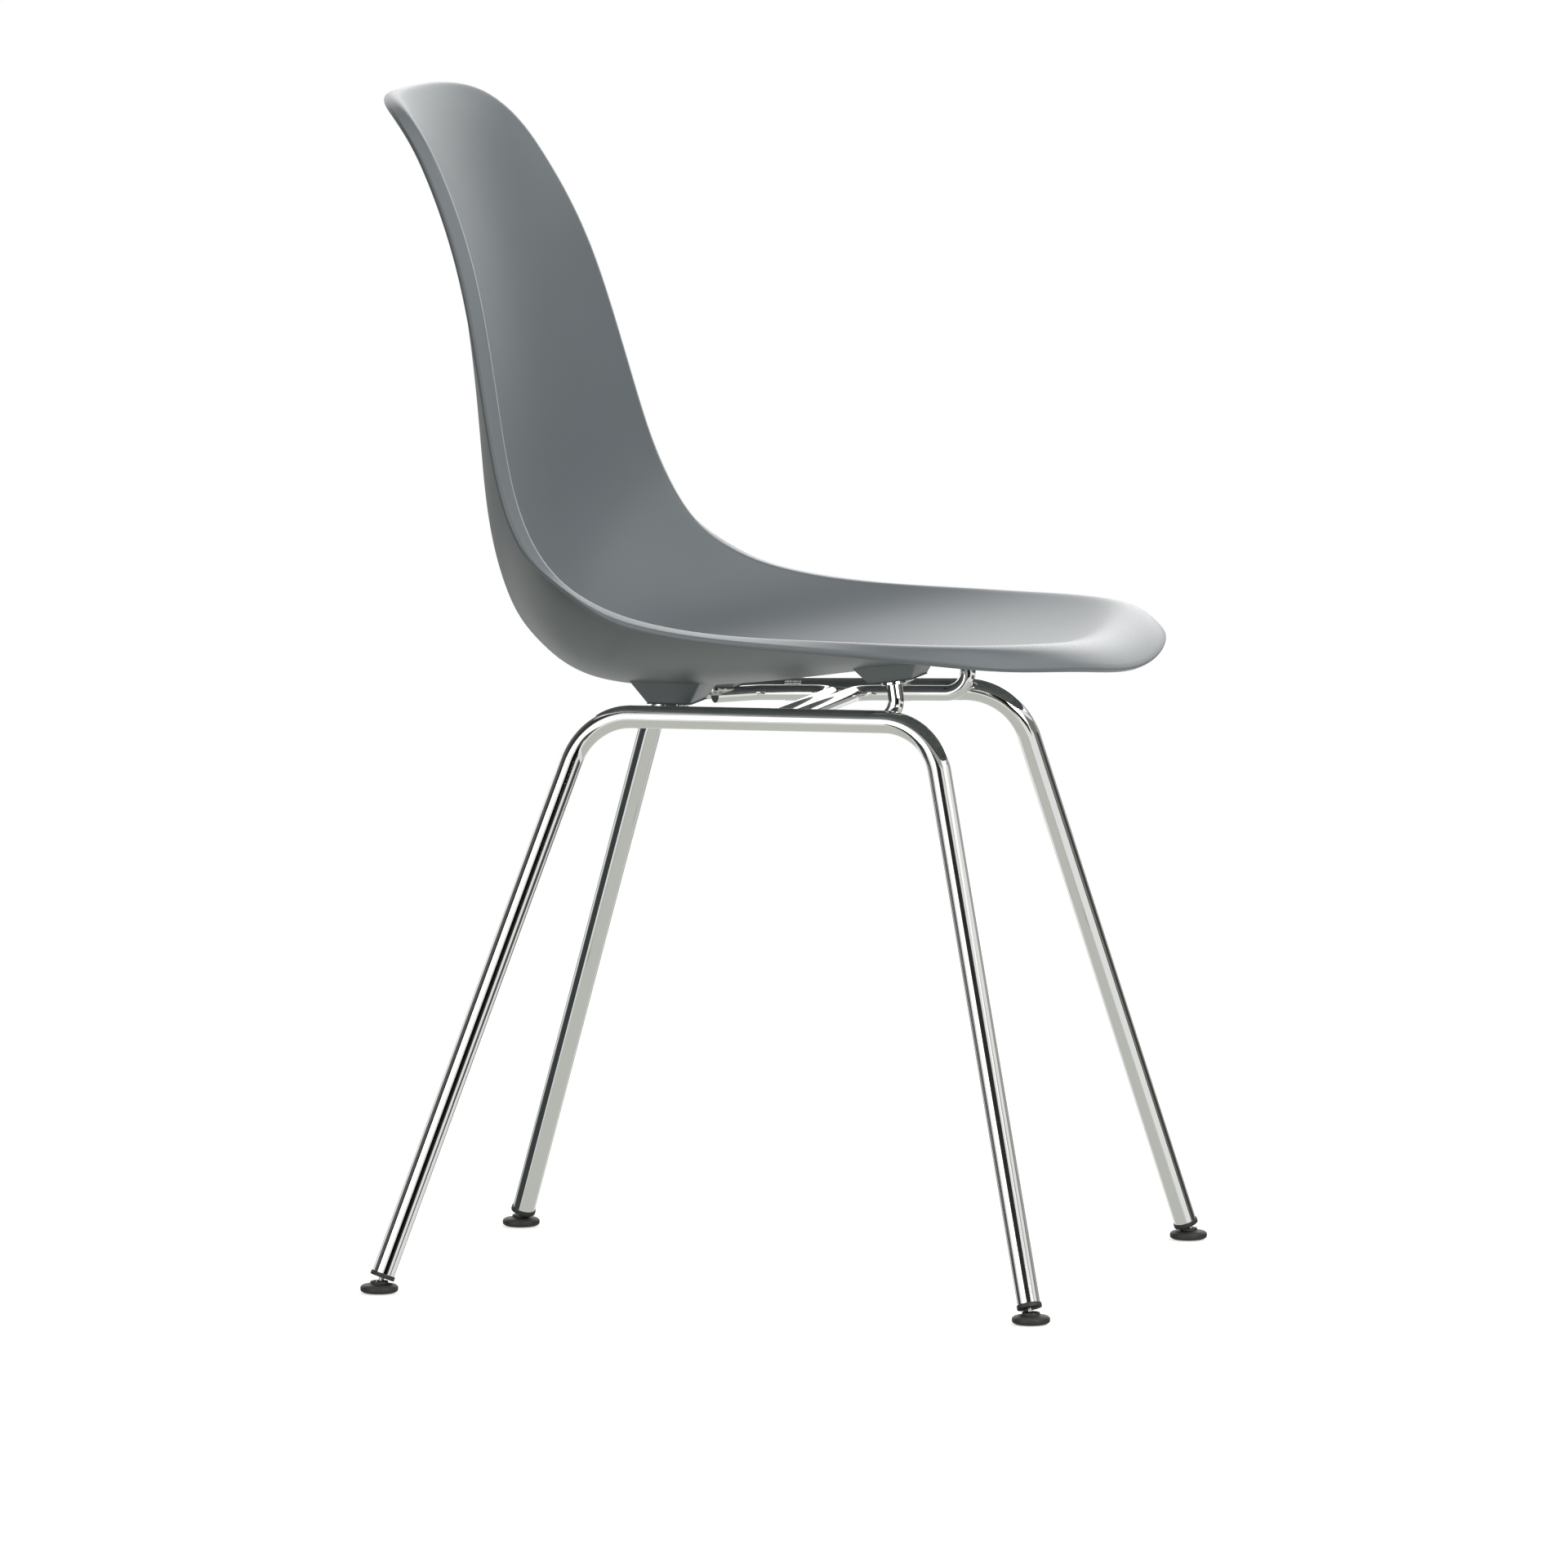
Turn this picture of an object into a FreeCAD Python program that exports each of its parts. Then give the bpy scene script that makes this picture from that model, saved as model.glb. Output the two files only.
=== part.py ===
import FreeCAD, Part
import math
import os
import Sketcher
from FreeCAD import Placement, Rotation, Vector

# Moulded plastic shell chair on a chromed four-leg base, in millimetres.
# Front is -Y, the sitter's right is -X, the floor is z = 0.

doc = FreeCAD.newDocument("shell_chair")
sheet = doc.addObject("Spreadsheet::Sheet", "sizes")

# Driving dimensions: alias, value.
SIZES = [
    # Seat and frame heights
    ("seat_z", 424.0),
    ("origin_y", 4.4),
    ("shell_wall", 5.0),
    ("shell_depth", 480.0),
    ("back_height", 408.0),
    ("shell_half_width", 192.0),
    ("lip_radius", 7.5),
    # Leg bows
    ("tube_diameter", 16.0),
    ("tube_wall", 1.5),
    ("bow_bend", 45.0),
    ("base_depth", 483.0),
    ("front_foot_x", 225.7),
    ("rear_foot_x", 180.7),
    ("front_corner_x", 115.0),
    ("front_corner_y", -142.3),
    ("front_corner_drop", 19.8),
    ("rear_corner_x", 95.3),
    ("rear_corner_y", 112.0),
    ("rear_corner_drop", 23.1),
    # Brace rods
    ("rod_diameter", 11.0),
    ("rod_drop", 1.5),
    ("rod_weld_gap", 0.05),
    ("rod_bend", 16.0),
    ("front_cross_y", -33.0),
    ("rear_cross_y", -18.5),
    ("rear_rod_turn_y", 38.0),
    ("rear_rod_overrun", 7.0),
    ("weld_bead_diameter", 4.0),
    ("weld_bead_length", 12.0),
    ("front_weld_y", -64.0),
    ("rear_weld_y", 14.0),
    # Mount plates
    ("plate_width", 18.0),
    ("plate_thickness", 2.6),
    ("plate_half_pitch", 11.0),
    ("front_mount_y", -111.0),
    ("front_mount_rise", 7.5),
    ("front_mount_tilt", 8.0),
    ("rear_mount_x", 56.0),
    ("rear_mount_y", 58.0),
    # Bosses moulded under the seat
    ("boss_length", 31.0),
    ("boss_width", 44.0),
    ("boss_draft", 32.0),
    ("boss_height", 30.0),
    ("boss_trim_half_width", 150.0),
    ("boss_trim_height", 200.0),
    # Inserts, shock mounts and screws
    ("insert_diameter", 9.0),
    ("insert_length", 9.0),
    ("mount_ring_diameter", 16.0),
    ("mount_ring_height", 5.0),
    ("screw_diameter", 6.0),
    ("screw_engagement", 8.0),
    ("screw_head_diameter", 10.5),
    ("screw_head_height", 3.4),
    ("screw_key_size", 4.0),
    ("screw_key_depth", 2.0),
    ("seat_clearance", 0.05),
    ("hole_clearance", 0.3),
    # Swivel glides
    ("ball_height", 5.5),
    ("ball_diameter", 7.2),
    ("stem_diameter", 3.6),
    ("running_clearance", 0.05),
    ("collar_gap", 5.5),
    ("collar_diameter", 17.6),
    ("collar_height", 3.2),
    ("plug_length", 20.0),
    ("stem_head_diameter", 6.6),
    ("stem_head_height", 1.6),
    ("glide_diameter", 26.6),
    ("glide_sole_diameter", 21.6),
    ("glide_rim_low", 1.6),
    ("glide_rim_high", 4.6),
    ("glide_top_diameter", 23.0),
    ("glide_top_height", 6.0),
    ("glide_neck_diameter", 12.6),
    ("glide_neck_base", 6.7),
    ("glide_neck_height", 8.5),
    ("socket_lip_rise", 2.0),
    ("socket_mouth_diameter", 8.8),
]

# Stations of the seat's inner surface along the middle, from the front edge over the hip to the
# top of the back. In percent: y of shell_depth, lift above seat_z of back_height, half-width and
# rise of the rim of shell_half_width. Then the steepness of the side as a share, and the rolled
# lip's radius and flat as multiples of lip_radius, with its turn in degrees between them.
STATION_NAMES = ("y", "lift", "half", "rise", "steep", "roll", "turn", "flat")
STATION_UNITS = {
    "y": "shell_depth",
    "lift": "back_height",
    "half": "shell_half_width",
    "rise": "shell_half_width",
    "roll": "lip_radius",
    "flat": "lip_radius",
}
PERCENT_COLUMNS = ("y", "lift", "half", "rise")
STATIONS = [
    (-46.6, 7.6, 86.4, 11.2, 0.25, 4.4, 82, 0.3),
    (-42.2, 5.7, 91.1, 9.7, 0.35, 3.45, 72, 0.7),
    (-31.5, 5.3, 94.6, 9.9, 0.45, 2.2, 47, 1.1),
    (-19.8, 4.1, 97.6, 13.9, 0.55, 1.3, 41, 1.5),
    (-8.0, 1.6, 100.2, 19.5, 0.55, 1, 36, 1.5),
    (5.4, -0.3, 98.7, 25.5, 0.5, 0.95, 42, 1.4),
    (19.3, -1.3, 96.2, 35.8, 0.5, 0.9, 55, 1.3),
    (30.5, 1.6, 96.4, 41.3, 0.4, 0.9, 61, 1.1),
    (37.2, 11.7, 96.9, 39.2, 0.3, 0.95, 60, 1.1),
    (40.1, 26.8, 96.0, 29.4, 0.3, 1, 54, 1.3),
    (40.7, 42.1, 88.9, 23.2, 0.25, 1, 53, 1.2),
    (42.1, 57.4, 80.5, 19.7, 0.25, 1, 56, 1.2),
    (44.0, 71.4, 73.6, 17.0, 0.25, 1, 58, 1.1),
    (47.2, 83.8, 64.6, 12.9, 0.3, 1, 59, 0.9),
    (50.0, 95.9, 57.1, 6.6, 0.25, 1.1, 57, 0.6),
    (54.7, 100.0, 53.4, 5.0, 0.25, 1.2, 56, 0.3),
]

# Plan corners of the shell: length along the stations and squareness, at the front and the top.
OUTLINE = [
    ("front_corner_span", 1.8),
    ("top_corner_span", 1.55),
    ("front_corner_square", 2.25),
    ("top_corner_square", 2.55),
    ("shell_centre_station", 7.0),
]

# Fineness of the shell's control net: rays to each side, shares of the way from the middle to the
# rim, steps round the lip's arc and along its flat.
RAYS_PER_SIDE = 28
RING_SHARES = (0.0, 0.12, 0.25, 0.38, 0.5, 0.62, 0.73, 0.83, 0.91, 0.97, 1.0)
ARC_STEPS = 4
FLAT_STEPS = 2
CORNER_SAMPLES = 60
SIDE_SAMPLES = 200
ALONG_STEP = 0.001
ACROSS_STEP = 0.5

# Stations and samples between which a boss can meet the seat's wall.
BOSS_STATIONS = (1.5, 7.0)
BOSS_SAMPLES = (15, 13)


def fill_sheet():
    """Write every driving dimension to the sheet as text, with its alias."""
    rows = list(SIZES) + list(OUTLINE)
    for index, station in enumerate(STATIONS):
        for name, value in zip(STATION_NAMES, station):
            rows.append((f"station_{name}_{index}", value))
    for row, (alias, value) in enumerate(rows, start=1):
        sheet.set(f"A{row}", alias)
        sheet.set(f"B{row}", str(value))
        sheet.setAlias(f"B{row}", alias)
    doc.recompute()


def size(alias):
    """Value of one driving dimension."""
    return float(sheet.get(alias))


fill_sheet()
parts = []


def keep(node, label):
    """Name a finished sub-part and keep it for export."""
    node.Label = label
    parts.append(node)
    return node


# Turned and flat bodies from bound sketches

def origin_plane(body, role):
    """One of a body's own origin planes or axes."""
    return next(item for item in body.Origin.OriginFeatures if item.Role == role)


def bound_profile(body, name, role, corners):
    """Closed polygon on an origin plane, each corner's place bound to expressions."""
    sketch = body.newObject("Sketcher::SketchObject", name)
    sketch.AttachmentSupport = [(origin_plane(body, role), "")]
    sketch.MapMode = "FlatFace"
    values = [(evaluate(across), evaluate(along)) for across, along in corners]
    count = len(values)
    for index in range(count):
        start = Vector(values[index][0], values[index][1], 0)
        end = Vector(values[(index + 1) % count][0], values[(index + 1) % count][1], 0)
        sketch.addGeometry(Part.LineSegment(start, end), False)
    for index in range(count):
        sketch.addConstraint(Sketcher.Constraint("Coincident", index, 2, (index + 1) % count, 1))
    for index, (across, along) in enumerate(corners):
        for kind, expression, axis in (("DistanceX", across, -2), ("DistanceY", along, -1)):
            value = evaluate(expression)
            if value == 0:
                sketch.addConstraint(Sketcher.Constraint("PointOnObject", index, 1, axis))
                continue
            number = sketch.addConstraint(Sketcher.Constraint(kind, -1, 1, index, 1, value))
            sketch.renameConstraint(number, f"{kind}_{index}")
            sketch.setExpression(f"Constraints.{kind}_{index}", expression)
    return sketch


def evaluate(expression):
    """Number that an expression on the sheet gives."""
    return float(sheet.evalExpression(expression))


def revolve(label, corners):
    """Body turned about its own Z axis from a bound half profile, and its turn."""
    body = doc.addObject("PartDesign::Body", label)
    sketch = bound_profile(body, label + "_profile", "XZ_Plane", corners)
    turn = body.newObject("PartDesign::Revolution", label + "_turn")
    turn.Profile = sketch
    turn.ReferenceAxis = (sketch, ["V_Axis"])
    turn.Angle = 360.0
    doc.recompute()
    return body, turn


def turned(label, corners, place):
    """Turned sub-part in its place."""
    body, _ = revolve(label, corners)
    body.Placement = place
    return keep(body, label)


# Seat surface

def blend(column, along):
    """Uniform cubic B-spline through the stations' column, ends reached."""
    values = [station[column] for station in station_table]
    values = [2 * values[0] - values[1]] + values + [2 * values[-1] - values[-2]]
    span = min(max(int(math.floor(along)), 0), len(values) - 4)
    step = along - span
    weights = (
        (1 - step) ** 3,
        3 * step ** 3 - 6 * step ** 2 + 4,
        -3 * step ** 3 + 3 * step ** 2 + 3 * step + 1,
        step ** 3,
    )
    return sum(weight * values[span + index] for index, weight in enumerate(weights)) / 6


def station_value(name, index):
    """One station's value, in millimetres where it is a length."""
    value = size(f"station_{name}_{index}")
    if name in STATION_UNITS:
        value *= size(STATION_UNITS[name])
    if name in PERCENT_COLUMNS:
        value /= 100
    return value


station_table = [
    {name: station_value(name, index) for name in STATION_NAMES}
    for index in range(len(STATIONS))
]
LAST = len(STATIONS) - 1


def clamp(along):
    """Keep a place along the stations inside them."""
    return min(max(along, 0.0), float(LAST))


def seat_point(along, across):
    """Point on the sitter's side of the shell, before its lip."""
    ahead = clamp(along + ALONG_STEP)
    behind = clamp(along - ALONG_STEP)
    run = Vector(
        0, blend("y", ahead) - blend("y", behind), blend("lift", ahead) - blend("lift", behind)
    )
    run.normalize()
    share = (across / blend("half", along)) ** 2
    steep = blend("steep", along)
    rise = blend("rise", along) * ((1 - steep) * share + steep * share ** 2)
    y = blend("y", along) - origin_y - run.z * rise
    z = blend("lift", along) + seat_z + run.y * rise
    return Vector(across, y, z)


def seat_normal(along, across):
    """Unit normal of the seat surface, towards the sitter."""
    ahead = clamp(along + 2 * ALONG_STEP)
    behind = clamp(along - 2 * ALONG_STEP)
    lengthways = seat_point(ahead, across) - seat_point(behind, across)
    sideways = seat_point(along, across + ACROSS_STEP) - seat_point(along, across - ACROSS_STEP)
    normal = sideways.cross(lengthways)
    normal.normalize()
    return normal


def rim_half(count):
    """Places along half of the rim, from the front's middle to the top's, evenly spaced."""
    front = size("front_corner_span")
    top = size("top_corner_span")
    places = []
    for index in range(CORNER_SAMPLES + 1):
        angle = math.pi / 2 * index / CORNER_SAMPLES
        power = 2 / size("front_corner_square")
        along = front * (1 - math.cos(angle) ** power)
        places.append((along, math.sin(angle) ** power))
    for index in range(1, SIDE_SAMPLES):
        places.append((front + (LAST - top - front) * index / SIDE_SAMPLES, 1.0))
    for index in range(CORNER_SAMPLES, -1, -1):
        angle = math.pi / 2 * index / CORNER_SAMPLES
        power = 2 / size("top_corner_square")
        places.append((LAST - top * (1 - math.cos(angle) ** power), math.sin(angle) ** power))
    rim = [(along, close * blend("half", along)) for along, close in places]
    points = [seat_point(along, across) for along, across in rim]
    lengths = [0.0]
    for before, after in zip(points, points[1:]):
        lengths.append(lengths[-1] + (after - before).Length)
    chosen = []
    place = 0
    for index in range(count + 1):
        target = lengths[-1] * index / count
        while place < len(lengths) - 2 and lengths[place + 1] < target:
            place += 1
        gap = lengths[place + 1] - lengths[place]
        share = (target - lengths[place]) / gap
        chosen.append(tuple(a + (b - a) * share for a, b in zip(rim[place], rim[place + 1])))
    return chosen


def shell_rings(half_count):
    """Rings of points from the seat's middle, over the lip and back under the shell."""
    half = rim_half(half_count)
    rim = half + [(along, -across) for along, across in half[-2:0:-1]]
    count = len(rim)
    points = [seat_point(*place) for place in rim]
    normals = [seat_normal(*place) for place in rim]
    wall = size("shell_wall")
    centre = size("shell_centre_station")
    upper = []
    lower = []
    for share in RING_SHARES:
        ring = []
        under = []
        for along, across in rim:
            place = (centre + share * (along - centre), share * across)
            point = seat_point(*place)
            ring.append(point)
            under.append(point - seat_normal(*place) * wall)
        upper.append(ring)
        lower.append(under)
    for step in range(1, ARC_STEPS + FLAT_STEPS + 1):
        ring = []
        under = []
        for index in range(count):
            along = rim[index][0]
            forward = points[(index + 1) % count] - points[index - 1]
            out = forward.cross(normals[index])
            out.normalize()
            radius = blend("roll", along)
            turn = math.radians(blend("turn", along))
            angle = turn * min(step / ARC_STEPS, 1.0)
            point = points[index] + out * (radius * math.sin(angle))
            point = point - normals[index] * (radius * (1 - math.cos(angle)))
            flat = blend("flat", along) * max(step - ARC_STEPS, 0) / FLAT_STEPS
            point = point + (out * math.cos(angle) - normals[index] * math.sin(angle)) * flat
            facing = normals[index] * math.cos(angle) + out * math.sin(angle)
            ring.append(point)
            under.append(point - facing * wall)
        upper.append(ring)
        lower.append(under)
    nose = []
    for face in (upper, lower):
        nose.append([
            end + (end - before).normalize() * (wall / 2)
            for end, before in zip(face[-1], face[-2])
        ])
    return upper + nose + lower[::-1]


def closed_surface(rings):
    """Smooth closed surface whose control rings run from pole to pole, as a solid."""
    surface = Part.BSplineSurface()
    ring_count = len(rings)
    ray_count = len(rings[0])
    surface.buildFromPolesMultsKnots(
        rings,
        [4] + [1] * (ring_count - 4) + [4],
        [1] * (ray_count + 1),
        [float(knot) for knot in range(ring_count - 2)],
        [float(knot) for knot in range(ray_count + 1)],
        False, True, 3, 3,
    )
    solid = Part.Solid(Part.Shell([surface.toShape()]))
    if solid.Volume < 0:
        solid.reverse()
    return solid


def room_above_mid_wall():
    """Everything above the middle of the seat's wall, to trim the bosses with."""
    grid = []
    half_wall = size("shell_wall") / 2
    reach = size("boss_trim_half_width")
    first, last = BOSS_STATIONS
    rows, columns = BOSS_SAMPLES
    for row in range(rows):
        along = first + (last - first) * row / (rows - 1)
        line = []
        for column in range(columns):
            across = reach * (2 * column / (columns - 1) - 1)
            line.append(seat_point(along, across) - seat_normal(along, across) * half_wall)
        grid.append(line)
    surface = Part.BSplineSurface()
    surface.interpolate(grid)
    return surface.toShape().extrude(Vector(0, 0, size("boss_trim_height")))


# Places on the frame

seat_z = size("seat_z")
origin_y = size("origin_y")
tube_radius = size("tube_diameter") / 2
rod_radius = size("rod_diameter") / 2
ball_height = size("ball_height")


def depth(place):
    """Front-to-back place of a named point, from the chair's own middle."""
    return size(place + "_y") - origin_y


def bow_corner(end, side):
    """Where a leg's centre line meets the bow's top run."""
    return Vector(
        side * size(end + "_corner_x"),
        depth(end + "_corner"),
        seat_z - size(end + "_corner_drop"),
    )


def ball_centre(end, side):
    """Centre of a glide's ball."""
    away = size("base_depth") / 2
    y = (-away if end == "front" else away) - origin_y
    return Vector(side * size(end + "_foot_x"), y, ball_height)


def leg_direction(end, side):
    """Unit vector up a leg."""
    direction = bow_corner(end, side) - ball_centre(end, side)
    return direction.normalize()


def bow_at(y):
    """Half-width and height of the bows' top run at a place along it."""
    front = bow_corner("front", 1)
    rear = bow_corner("rear", 1)
    share = (y - front.y) / (rear.y - front.y)
    return front.x + (rear.x - front.x) * share, front.z + (rear.z - front.z) * share


def rod_at(y, side):
    """Centre of a brace rod that lies along the inside of a bow."""
    half, height = bow_at(y)
    drop = size("rod_drop")
    beside = math.sqrt((tube_radius + rod_radius + size("rod_weld_gap")) ** 2 - drop ** 2)
    return Vector(side * (half - beside), y, height - drop)


def rear_plate_top():
    """Height of the rear plates' upper face."""
    return rod_at(depth("rear_rod_turn"), 1).z + rod_radius + size("plate_thickness")


def mount_frame(end, side):
    """Placement of a mount: origin on the plate's upper face, Z up its normal, X outward."""
    if end == "rear":
        base = Vector(side * size("rear_mount_x"), depth("rear_mount"), rear_plate_top())
        tilt = Rotation()
    else:
        tilt = Rotation(Vector(1, 0, 0), -size("front_mount_tilt"))
        top = seat_z + size("front_mount_rise")
        foot = rod_at(depth("front_mount"), side)
        base = Vector(foot.x - side * size("plate_half_pitch"), depth("front_mount"), top)
    face = Rotation() if side > 0 else Rotation(Vector(0, 0, 1), 180)
    return Placement(base, tilt.multiply(face))


# Tubes and rods along straight runs and tangent arcs

def bent_path(label, corners, radius):
    """Wire through the corners, each inner one rounded with the same radius."""
    edges = []
    start = corners[0]
    for before, corner, after in zip(corners, corners[1:], corners[2:]):
        inward = (before - corner).normalize()
        outward = (after - corner).normalize()
        half_angle = inward.getAngle(outward) / 2
        reach = radius / math.tan(half_angle)
        middle = (inward + outward).normalize()
        entry = corner + inward * reach
        leave = corner + outward * reach
        crown = corner + middle * (radius / math.sin(half_angle) - radius)
        edges.append(Part.LineSegment(start, entry).toShape())
        edges.append(Part.Arc(entry, crown, leave).toShape())
        start = leave
    edges.append(Part.LineSegment(start, corners[-1]).toShape())
    path = doc.addObject("Part::Feature", label)
    path.Shape = Part.Wire(edges)
    return path


def swept_rod(label, path, corners, radius_expression):
    """Round bar swept along a path, its radius bound to the sheet."""
    ring = doc.addObject("Part::Circle", label + "_ring")
    ring.setExpression("Radius", radius_expression)
    ring.Placement = Placement(corners[0], Rotation(Vector(0, 0, 1), corners[1] - corners[0]))
    sweep = doc.addObject("Part::Sweep", label)
    sweep.Sections = [ring]
    sweep.Spine = (path, [f"Edge{index + 1}" for index in range(len(path.Shape.Edges))])
    sweep.Solid = True
    sweep.Frenet = False
    return sweep


def leg_bow(label, side):
    """One bent tube: front leg, top run and rear leg."""
    rise = size("collar_gap") + size("collar_height")
    corners = [
        ball_centre("front", side) + leg_direction("front", side) * rise,
        bow_corner("front", side),
        bow_corner("rear", side),
        ball_centre("rear", side) + leg_direction("rear", side) * rise,
    ]
    path = bent_path(label + "_path", corners, size("bow_bend"))
    outer = swept_rod(label + "_outer", path, corners, "sizes.tube_diameter / 2")
    inner = swept_rod(label + "_bore", path, corners, "sizes.tube_diameter / 2 - sizes.tube_wall")
    tube = doc.addObject("Part::Cut", label)
    tube.Base = outer
    tube.Tool = inner
    return keep(tube, label)


def front_rod():
    """Brace rod whose ends turn up to the front plates."""
    corners = []
    for side in (1, -1):
        place = mount_frame("front", side)
        up = place.Rotation.multVec(Vector(0, 0, 1))
        outer = Vector(size("plate_half_pitch"), 0, -size("plate_thickness"))
        top = place.multVec(outer)
        length = (top.z - rod_at(top.y, side).z) / up.z
        foot = top - up * length
        turn = rod_at(depth("front_cross"), side)
        corners += [top, foot, turn] if side > 0 else [turn, foot, top]
    path = bent_path("front_brace_rod_path", corners, size("rod_bend"))
    return keep(swept_rod("front_brace_rod", path, corners, "sizes.rod_diameter / 2"),
                "front_brace_rod")


def rear_rod():
    """Brace rod whose ends turn in under the rear plates."""
    corners = []
    for side in (1, -1):
        place = mount_frame("rear", side)
        under = place.multVec(Vector(size("plate_half_pitch"), 0, -size("plate_thickness")))
        elbow = rod_at(depth("rear_rod_turn"), side)
        reach = Vector(under.x - elbow.x, under.y - elbow.y, 0)
        end = elbow + reach * (1 + size("rear_rod_overrun") / reach.Length)
        turn = rod_at(depth("rear_cross"), side)
        corners += [end, elbow, turn] if side > 0 else [turn, elbow, end]
    path = bent_path("rear_brace_rod_path", corners, size("rod_bend"))
    return keep(swept_rod("rear_brace_rod", path, corners, "sizes.rod_diameter / 2"),
                "rear_brace_rod")


def weld_bead(label, y, side):
    """Weld metal in the grooves above and below a rod and the bow it lies against."""
    direction = (bow_corner("rear", side) - bow_corner("front", side)).normalize()
    half, height = bow_at(y)
    tube = Vector(side * half, y, height)
    rod = rod_at(y, side)
    across = rod - tube
    gap = across.Length
    across.normalize()
    upward = direction.cross(across) * (1 if direction.cross(across).z > 0 else -1)
    bead = size("weld_bead_diameter") / 2
    to_tube = tube_radius + bead
    to_rod = rod_radius + bead
    inward = (to_tube ** 2 - to_rod ** 2 + gap ** 2) / (2 * gap)
    rise = math.sqrt(to_tube ** 2 - inward ** 2)
    beads = []
    for sign, name in ((1, "upper"), (-1, "lower")):
        centre = tube + across * inward + upward * (sign * rise)
        start = centre - direction * (size("weld_bead_length") / 2)
        bar = doc.addObject("Part::Cylinder", f"{label}_{name}")
        bar.setExpression("Radius", "sizes.weld_bead_diameter / 2")
        bar.setExpression("Height", "sizes.weld_bead_length")
        bar.Placement = Placement(start, Rotation(Vector(0, 0, 1), direction))
        beads.append(bar)
    pair = doc.addObject("Part::Compound", label)
    pair.Links = beads
    return keep(pair, label)


# Mounts

def mount_plate(label, place):
    """Obround plate with one screw hole, welded to a rod's end."""
    body = doc.addObject("PartDesign::Body", label)
    corners = [
        ("-sizes.plate_half_pitch", "-sizes.plate_width / 2"),
        ("sizes.plate_half_pitch", "-sizes.plate_width / 2"),
        ("sizes.plate_half_pitch", "sizes.plate_width / 2"),
        ("-sizes.plate_half_pitch", "sizes.plate_width / 2"),
    ]
    blank = bound_profile(body, label + "_blank", "XY_Plane", corners)
    pad = body.newObject("PartDesign::Pad", label + "_pad")
    pad.Profile = blank
    pad.setExpression("Length", "sizes.plate_thickness")
    pad.Reversed = True
    doc.recompute()
    for end, sign in (("inner", "-"), ("outer", "")):
        lobe = round_sketch(body, f"{label}_{end}", f"{sign}sizes.plate_half_pitch",
                            "sizes.plate_width / 2")
        lobe_pad = body.newObject("PartDesign::Pad", f"{label}_{end}_pad")
        lobe_pad.Profile = lobe
        lobe_pad.setExpression("Length", "sizes.plate_thickness")
        lobe_pad.Reversed = True
        doc.recompute()
    hole = round_sketch(body, label + "_hole", "-sizes.plate_half_pitch",
                        "sizes.screw_diameter / 2 + sizes.hole_clearance")
    drill = body.newObject("PartDesign::Pocket", label + "_drill")
    drill.Profile = hole
    drill.Type = "ThroughAll"
    drill.Reversed = False
    doc.recompute()
    body.Placement = place
    return keep(body, label)


def round_sketch(body, name, across, radius):
    """Circle on the XY plane with its place and radius bound to expressions."""
    sketch = body.newObject("Sketcher::SketchObject", name)
    sketch.AttachmentSupport = [(origin_plane(body, "XY_Plane"), "")]
    sketch.MapMode = "FlatFace"
    centre = Vector(evaluate(across), 0, 0)
    circle = Part.Circle(centre, Vector(0, 0, 1), evaluate(radius))
    sketch.addGeometry(circle, False)
    sketch.addConstraint(Sketcher.Constraint("PointOnObject", 0, 3, -1))
    place = sketch.addConstraint(Sketcher.Constraint("DistanceX", -1, 1, 0, 3, centre.x))
    sketch.renameConstraint(place, "place")
    sketch.setExpression("Constraints.place", across)
    round_size = sketch.addConstraint(Sketcher.Constraint("Radius", 0, circle.Radius))
    sketch.renameConstraint(round_size, "round_size")
    sketch.setExpression("Constraints.round_size", radius)
    return sketch


def screw_frame(place):
    """The screw's own placement on a mount, on the plate's upper face."""
    offset = Placement(Vector(-size("plate_half_pitch"), 0, 0), Rotation())
    return place.multiply(offset)


def threaded_insert(label, place):
    """Brass insert moulded into a boss, open for the screw."""
    bore = "sizes.screw_diameter / 2 + sizes.seat_clearance"
    outer = "sizes.insert_diameter / 2"
    corners = [(bore, "0"), (outer, "0"), (outer, "sizes.insert_length"),
               (bore, "sizes.insert_length")]
    return turned(label, corners, place)


def shock_ring(label, place):
    """Rubber ring let into a boss round the insert, pressed on by the plate."""
    bore = "sizes.insert_diameter / 2 + sizes.seat_clearance"
    outer = "sizes.mount_ring_diameter / 2"
    corners = [(bore, "0"), (outer, "0"), (outer, "sizes.mount_ring_height"),
               (bore, "sizes.mount_ring_height")]
    return turned(label, corners, place)


def mount_screw(label, place):
    """Cap screw from below, through the plate and into the insert."""
    shank = "sizes.screw_diameter / 2"
    head = "sizes.screw_head_diameter / 2"
    under = "sizes.screw_head_height"
    tip = "sizes.screw_head_height + sizes.plate_thickness + sizes.screw_engagement"
    corners = [("0", "0"), (head, "0"), (head, under), (shank, under), (shank, tip), ("0", tip)]
    drop = size("screw_head_height") + size("plate_thickness")
    body, turn = revolve(label, corners)
    cut_hex_key(body, turn)
    body.Placement = place.multiply(Placement(Vector(0, 0, -drop), Rotation()))
    return keep(body, label)


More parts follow.
